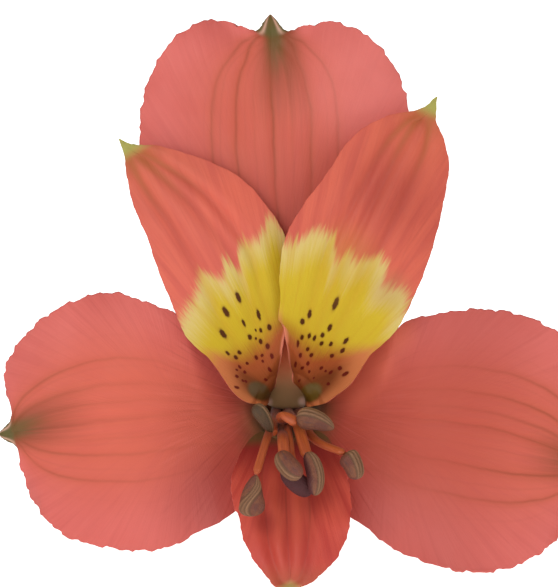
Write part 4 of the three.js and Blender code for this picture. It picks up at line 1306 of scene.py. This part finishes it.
def make_ovary_material():
    """The ovary: green, with dull red on the crests of its ribs and paler furrows."""
    material, bench = leaf_like("ovary skin")
    crest = abs(bench.math("COSINE", bench.number("around") * 3.0))
    blotch = bench.noise(bench.place(), 420.0, 4.0, 0.6)
    colour = bench.paint(
        GREEN,
        (blotch.smooth(0.3, 0.7), GREEN_DEEP),
        (crest.smooth(0.75, 1.0, 0.0, 0.75), GREEN_RED),
        (crest.smooth(0.35, 0.05, 0.0, 0.6), GREEN_PALE),
        (bench.number("lengthwise").smooth(0.12, 0.0, 0.0, 0.8), GREEN_RED),
    )
    skin(bench, colour, 1.0, blotch * 0.8, (0.4, 0.55))
    return material


def make_stem_material():
    """The stem: fresh green with lengthwise stripes, a red flush towards the bloom and pale flecks."""
    material, bench = leaf_like("stem skin")
    t, around = bench.number("lengthwise"), bench.number("around")
    across, upright = bench.math("COSINE", around), bench.math("SINE", around)
    stripes = bench.noise(bench.join(across * 7.0, upright * 7.0, t * 6.0), 1.0, 4.0)
    flecks = bench.noise(bench.place(), 1500.0, 1.0)
    colour = bench.paint(
        GREEN,
        (stripes.smooth(0.35, 0.65), GREEN_DEEP),
        (stripes.smooth(0.62, 0.78, 0.0, 0.6), GREEN_PALE),
        (t.smooth(0.35, 0.02, 0.0, 0.75), GREEN_RED),
        (flecks.smooth(0.66, 0.74, 0.0, 0.5), GREEN_PALE),
        (t.smooth(0.9985, 0.9998), GREEN_PALE),
    )
    skin(bench, colour, 0.8, stripes * 1.5, (0.36, 0.5))
    return material


def make_leaf_material():
    """Leaves: mid green with fine pale veins side by side, bluer on the under face."""
    material, bench = leaf_like("leaf skin")
    w, u, _ = bench.split(bench.attribute("blade"))
    slow = bench.noise(bench.place(), 130.0, 4.0, 0.6)
    stripes = bench.noise(bench.join(w * 26.0, u * 3.0), 1.0)
    ripple = abs(bench.math("SINE", w * 22.0))
    front = bench.paint(
        GREEN,
        (slow.smooth(0.3, 0.7), GREEN_DEEP),
        (ripple.smooth(0.25, 0.0, 0.0, 0.45), GREEN_PALE),
        (stripes.smooth(0.5, 0.75, 0.0, 0.35), GREEN_DEEP),
        (w.bell(0.0, 0.05) * 0.7, GREEN_PALE),
        (u.smooth(0.93, 1.0, 0.0, 0.8), GREEN_RED),
    )
    under = bench.paint(GREEN_UNDER, (ripple.smooth(0.3, 0.0, 0.0, 0.5), GREEN))
    relief = ripple.smooth(0.3, 0.0) + stripes * 0.8
    skin(bench, two_faces(bench, front, under), 0.6, relief, (0.36, 0.5))
    return material


# ---------- the pieces ----------

# the upper sepal's claw in the throat: its own brown and olive, painted lighter as painted light against the
# shade of the throat
THROAT_BROWN_PAINTED_LIGHT = tone(240, 146, 96)
THROAT_OLIVE_PAINTED_LIGHT = tone(172, 142, 96)
BASE_OLIVE = tone(104, 98, 56)
SIDE_BASE = (BASE_OLIVE, 8.5, BASE_OLIVE)
SIDE_GLIDE = (0.62, 0.8)


def make_sepals():
    top = make_sepal_material(
        "upper sepal skin", 1.0, 52.6, (THROAT_BROWN_PAINTED_LIGHT, 12.0, THROAT_OLIVE_PAINTED_LIGHT), TOP_VEINS, (0.68, 0.82),
        (17.5, -1.1, 0.0),
        [
            # painted shade below the middle, where the petals lie in front, and painted light on the right
            # lobe
            (-1.0, 27.0, 13.0, 0.22, SEPAL_SHADE), (10.0, 43.0, 13.0, 0.5, SEPAL_LOBE_PAINTED_LIGHT),
            # painted glints on the claw beside the throat
            (-2.75, 0.1, 1.0, 0.9, CLAW_PAINTED_GLINT), (2.1, 0.2, 1.0, 0.9, CLAW_PAINTED_GLINT),
        ],
    )
    left = make_sepal_material(
        "left sepal skin", 2.0, 39.1, SIDE_BASE, LEFT_VEINS, SIDE_GLIDE, (14.5, 0.2, -0.2),
        # the first patch is painted shade beside the lip
        [(-9.5, -12.5, 10.5, 0.62, SEPAL_SHADE), (-23.0, 0.0, 17.0, 0.4, SEPAL_WARM)],
    )
    right = make_sepal_material(
        "right sepal skin", 3.0, 42.8, SIDE_BASE, RIGHT_VEINS, SIDE_GLIDE, (12.0, 0.0, 0.0),
        [
            # painted shade beside the lip, then painted light along the shadow that the right petal casts
            (10.0, -15.0, 6.0, 0.2, SEPAL_SHADE), (8.8, 2.0, 4.5, 0.85, CLAW_PAINTED_LIGHT),
            (11.0, 5.6, 4.8, 0.85, CLAW_PAINTED_LIGHT), (13.6, 9.8, 5.0, 0.85, CLAW_PAINTED_LIGHT),
            (20.0, -2.0, 15.0, 0.35, SEPAL_RUSSET),
        ],
        # painted shade: the right sepal's inner half darker, as if it were lit less than the left one
        depth=0.32,
    )
    for name, material in (("sepal_top", top), ("sepal_left", left), ("sepal_right", right)):
        make_tepal(name, material, "sepal")


def make_petals():
    # painted light and shade: the left petal has a lighter coral and rose than the right one, as if lit from
    # the left
    left = make_petal_material(
        "petal_left", 4.0, 42.0, tone(219, 108, 88), tone(208, 98, 83), [(-6.4, 27.5, 7.5, 0.4, SEPAL_WARM)],
    )
    right = make_petal_material(
        "petal_right", 5.0, 45.6, tone(214, 102, 80), tone(200, 90, 74),
        [
            # painted shade on the right petal: over its broad middle groove, towards its outer side and on
            # its yellow
            (13.0, 28.5, 7.5, 0.3, SEPAL_DEEP_AND_SHADE), (17.5, 26.0, 9.0, 0.14, SEPAL_DEEP_AND_SHADE),
            (7.0, 19.0, 7.0, 0.25, YELLOW_DEEP), (13.4, 15.2, 4.0, 0.4, YELLOW_PAINTED_SHADE),
        ],
    )
    make_tepal("petal_left", left, "petal")
    make_tepal("petal_right", right, "petal")
    make_tepal("petal_lower", make_lip_material(), "lip")


def make_heart():
    """Stamens, style and ovary."""
    filament, anther = make_filament_material(), make_anther_material()
    for number, stamen in enumerate(STAMENS, start=1):
        make_filament(number, stamen, filament)
        make_anther(number, stamen, anther)
    make_style(make_style_material())
    make_ovary(make_ovary_material())


def make_greenery():
    make_stem(make_stem_material())
    leaf = make_leaf_material()
    for number, placed in enumerate(LEAVES, start=1):
        make_leaf(number, placed, leaf)


# ---------- floor, light and camera ----------

FLOOR_REACH = 6.0
FLOOR_GLOW = 0.45
FLOOR_SEEN = 0.8  # how much more it glows for the camera
WORLD_LIGHT = 0.3


def make_floor():
    """A wide pale floor under the flower, with a faint cloudiness."""
    mesh = bpy.data.meshes.new("floor")
    corners = [(x * FLOOR_REACH, y * FLOOR_REACH, 0) for x, y in ((-1, -1), (1, -1), (1, 1), (-1, 1))]
    mesh.from_pydata(corners, [], [(0, 1, 2, 3)])
    material, bench = new_material("pale floor", Roughness=0.9)
    colour = bench.paint((0.86, 0.86, 0.86, 1), (bench.noise(bench.place(), 3.0), (0.9, 0.9, 0.9, 1)))
    seen = bench.make("ShaderNodeLightPath", output="Is Camera Ray")
    bench.feed(bench.put["Base Color"], colour)
    bench.feed(bench.put["Emission Color"], colour)
    bench.feed(bench.put["Emission Strength"], seen * FLOOR_SEEN + FLOOR_GLOW)
    mesh.materials.append(material)
    link("floor", mesh)


def make_light(name, place, aim, size, power):
    """A square soft light at place, in metres, that points at aim."""
    data = bpy.data.lights.new(name, "AREA")
    data.shape, data.size, data.energy = "SQUARE", size, power
    lamp = link(name, data)
    sight = unit(np.array(aim) - np.array(place))
    side = unit(np.cross(sight, (0, 0, 1)))
    axes = np.stack([side, np.cross(side, sight), -sight, place], axis=-1)
    lamp.matrix_world = Matrix([*axes.tolist(), (0, 0, 0, 1)])


def make_world():
    world = bpy.data.worlds.new("studio")
    bpy.context.scene.world = world
    world.use_nodes = True
    world.node_tree.nodes["Background"].inputs["Color"].default_value = (1, 1, 1, 1)
    world.node_tree.nodes["Background"].inputs["Strength"].default_value = WORLD_LIGHT
    bpy.context.scene.view_settings.view_transform = "Standard"


def make_camera():
    """A long lens that looks straight into the face of the bloom."""
    data = bpy.data.cameras.new("camera")
    data.sensor_width = SENSOR
    data.lens = SENSOR * CAMERA_DISTANCE / VIEW_HEIGHT
    data.clip_start, data.clip_end = 0.01, 50
    camera = link("camera", data)
    place = from_bloom(np.array([*SIGHT, CAMERA_DISTANCE])) * MM
    rows = [(*BLOOM_TURN[k], place[k]) for k in range(3)]
    camera.matrix_world = Matrix([*rows, (0, 0, 0, 1)])
    bpy.context.scene.camera = camera


make_sepals()
make_petals()
make_heart()
make_greenery()
make_floor()
make_light("key light", (-0.36, -0.84, 0.5), (0, -0.05, 0.02), 0.9, 5.3)
make_light("fill light", (0.55, -0.75, 0.35), (0, -0.05, 0.02), 0.8, 2.1)
make_world()
make_camera()
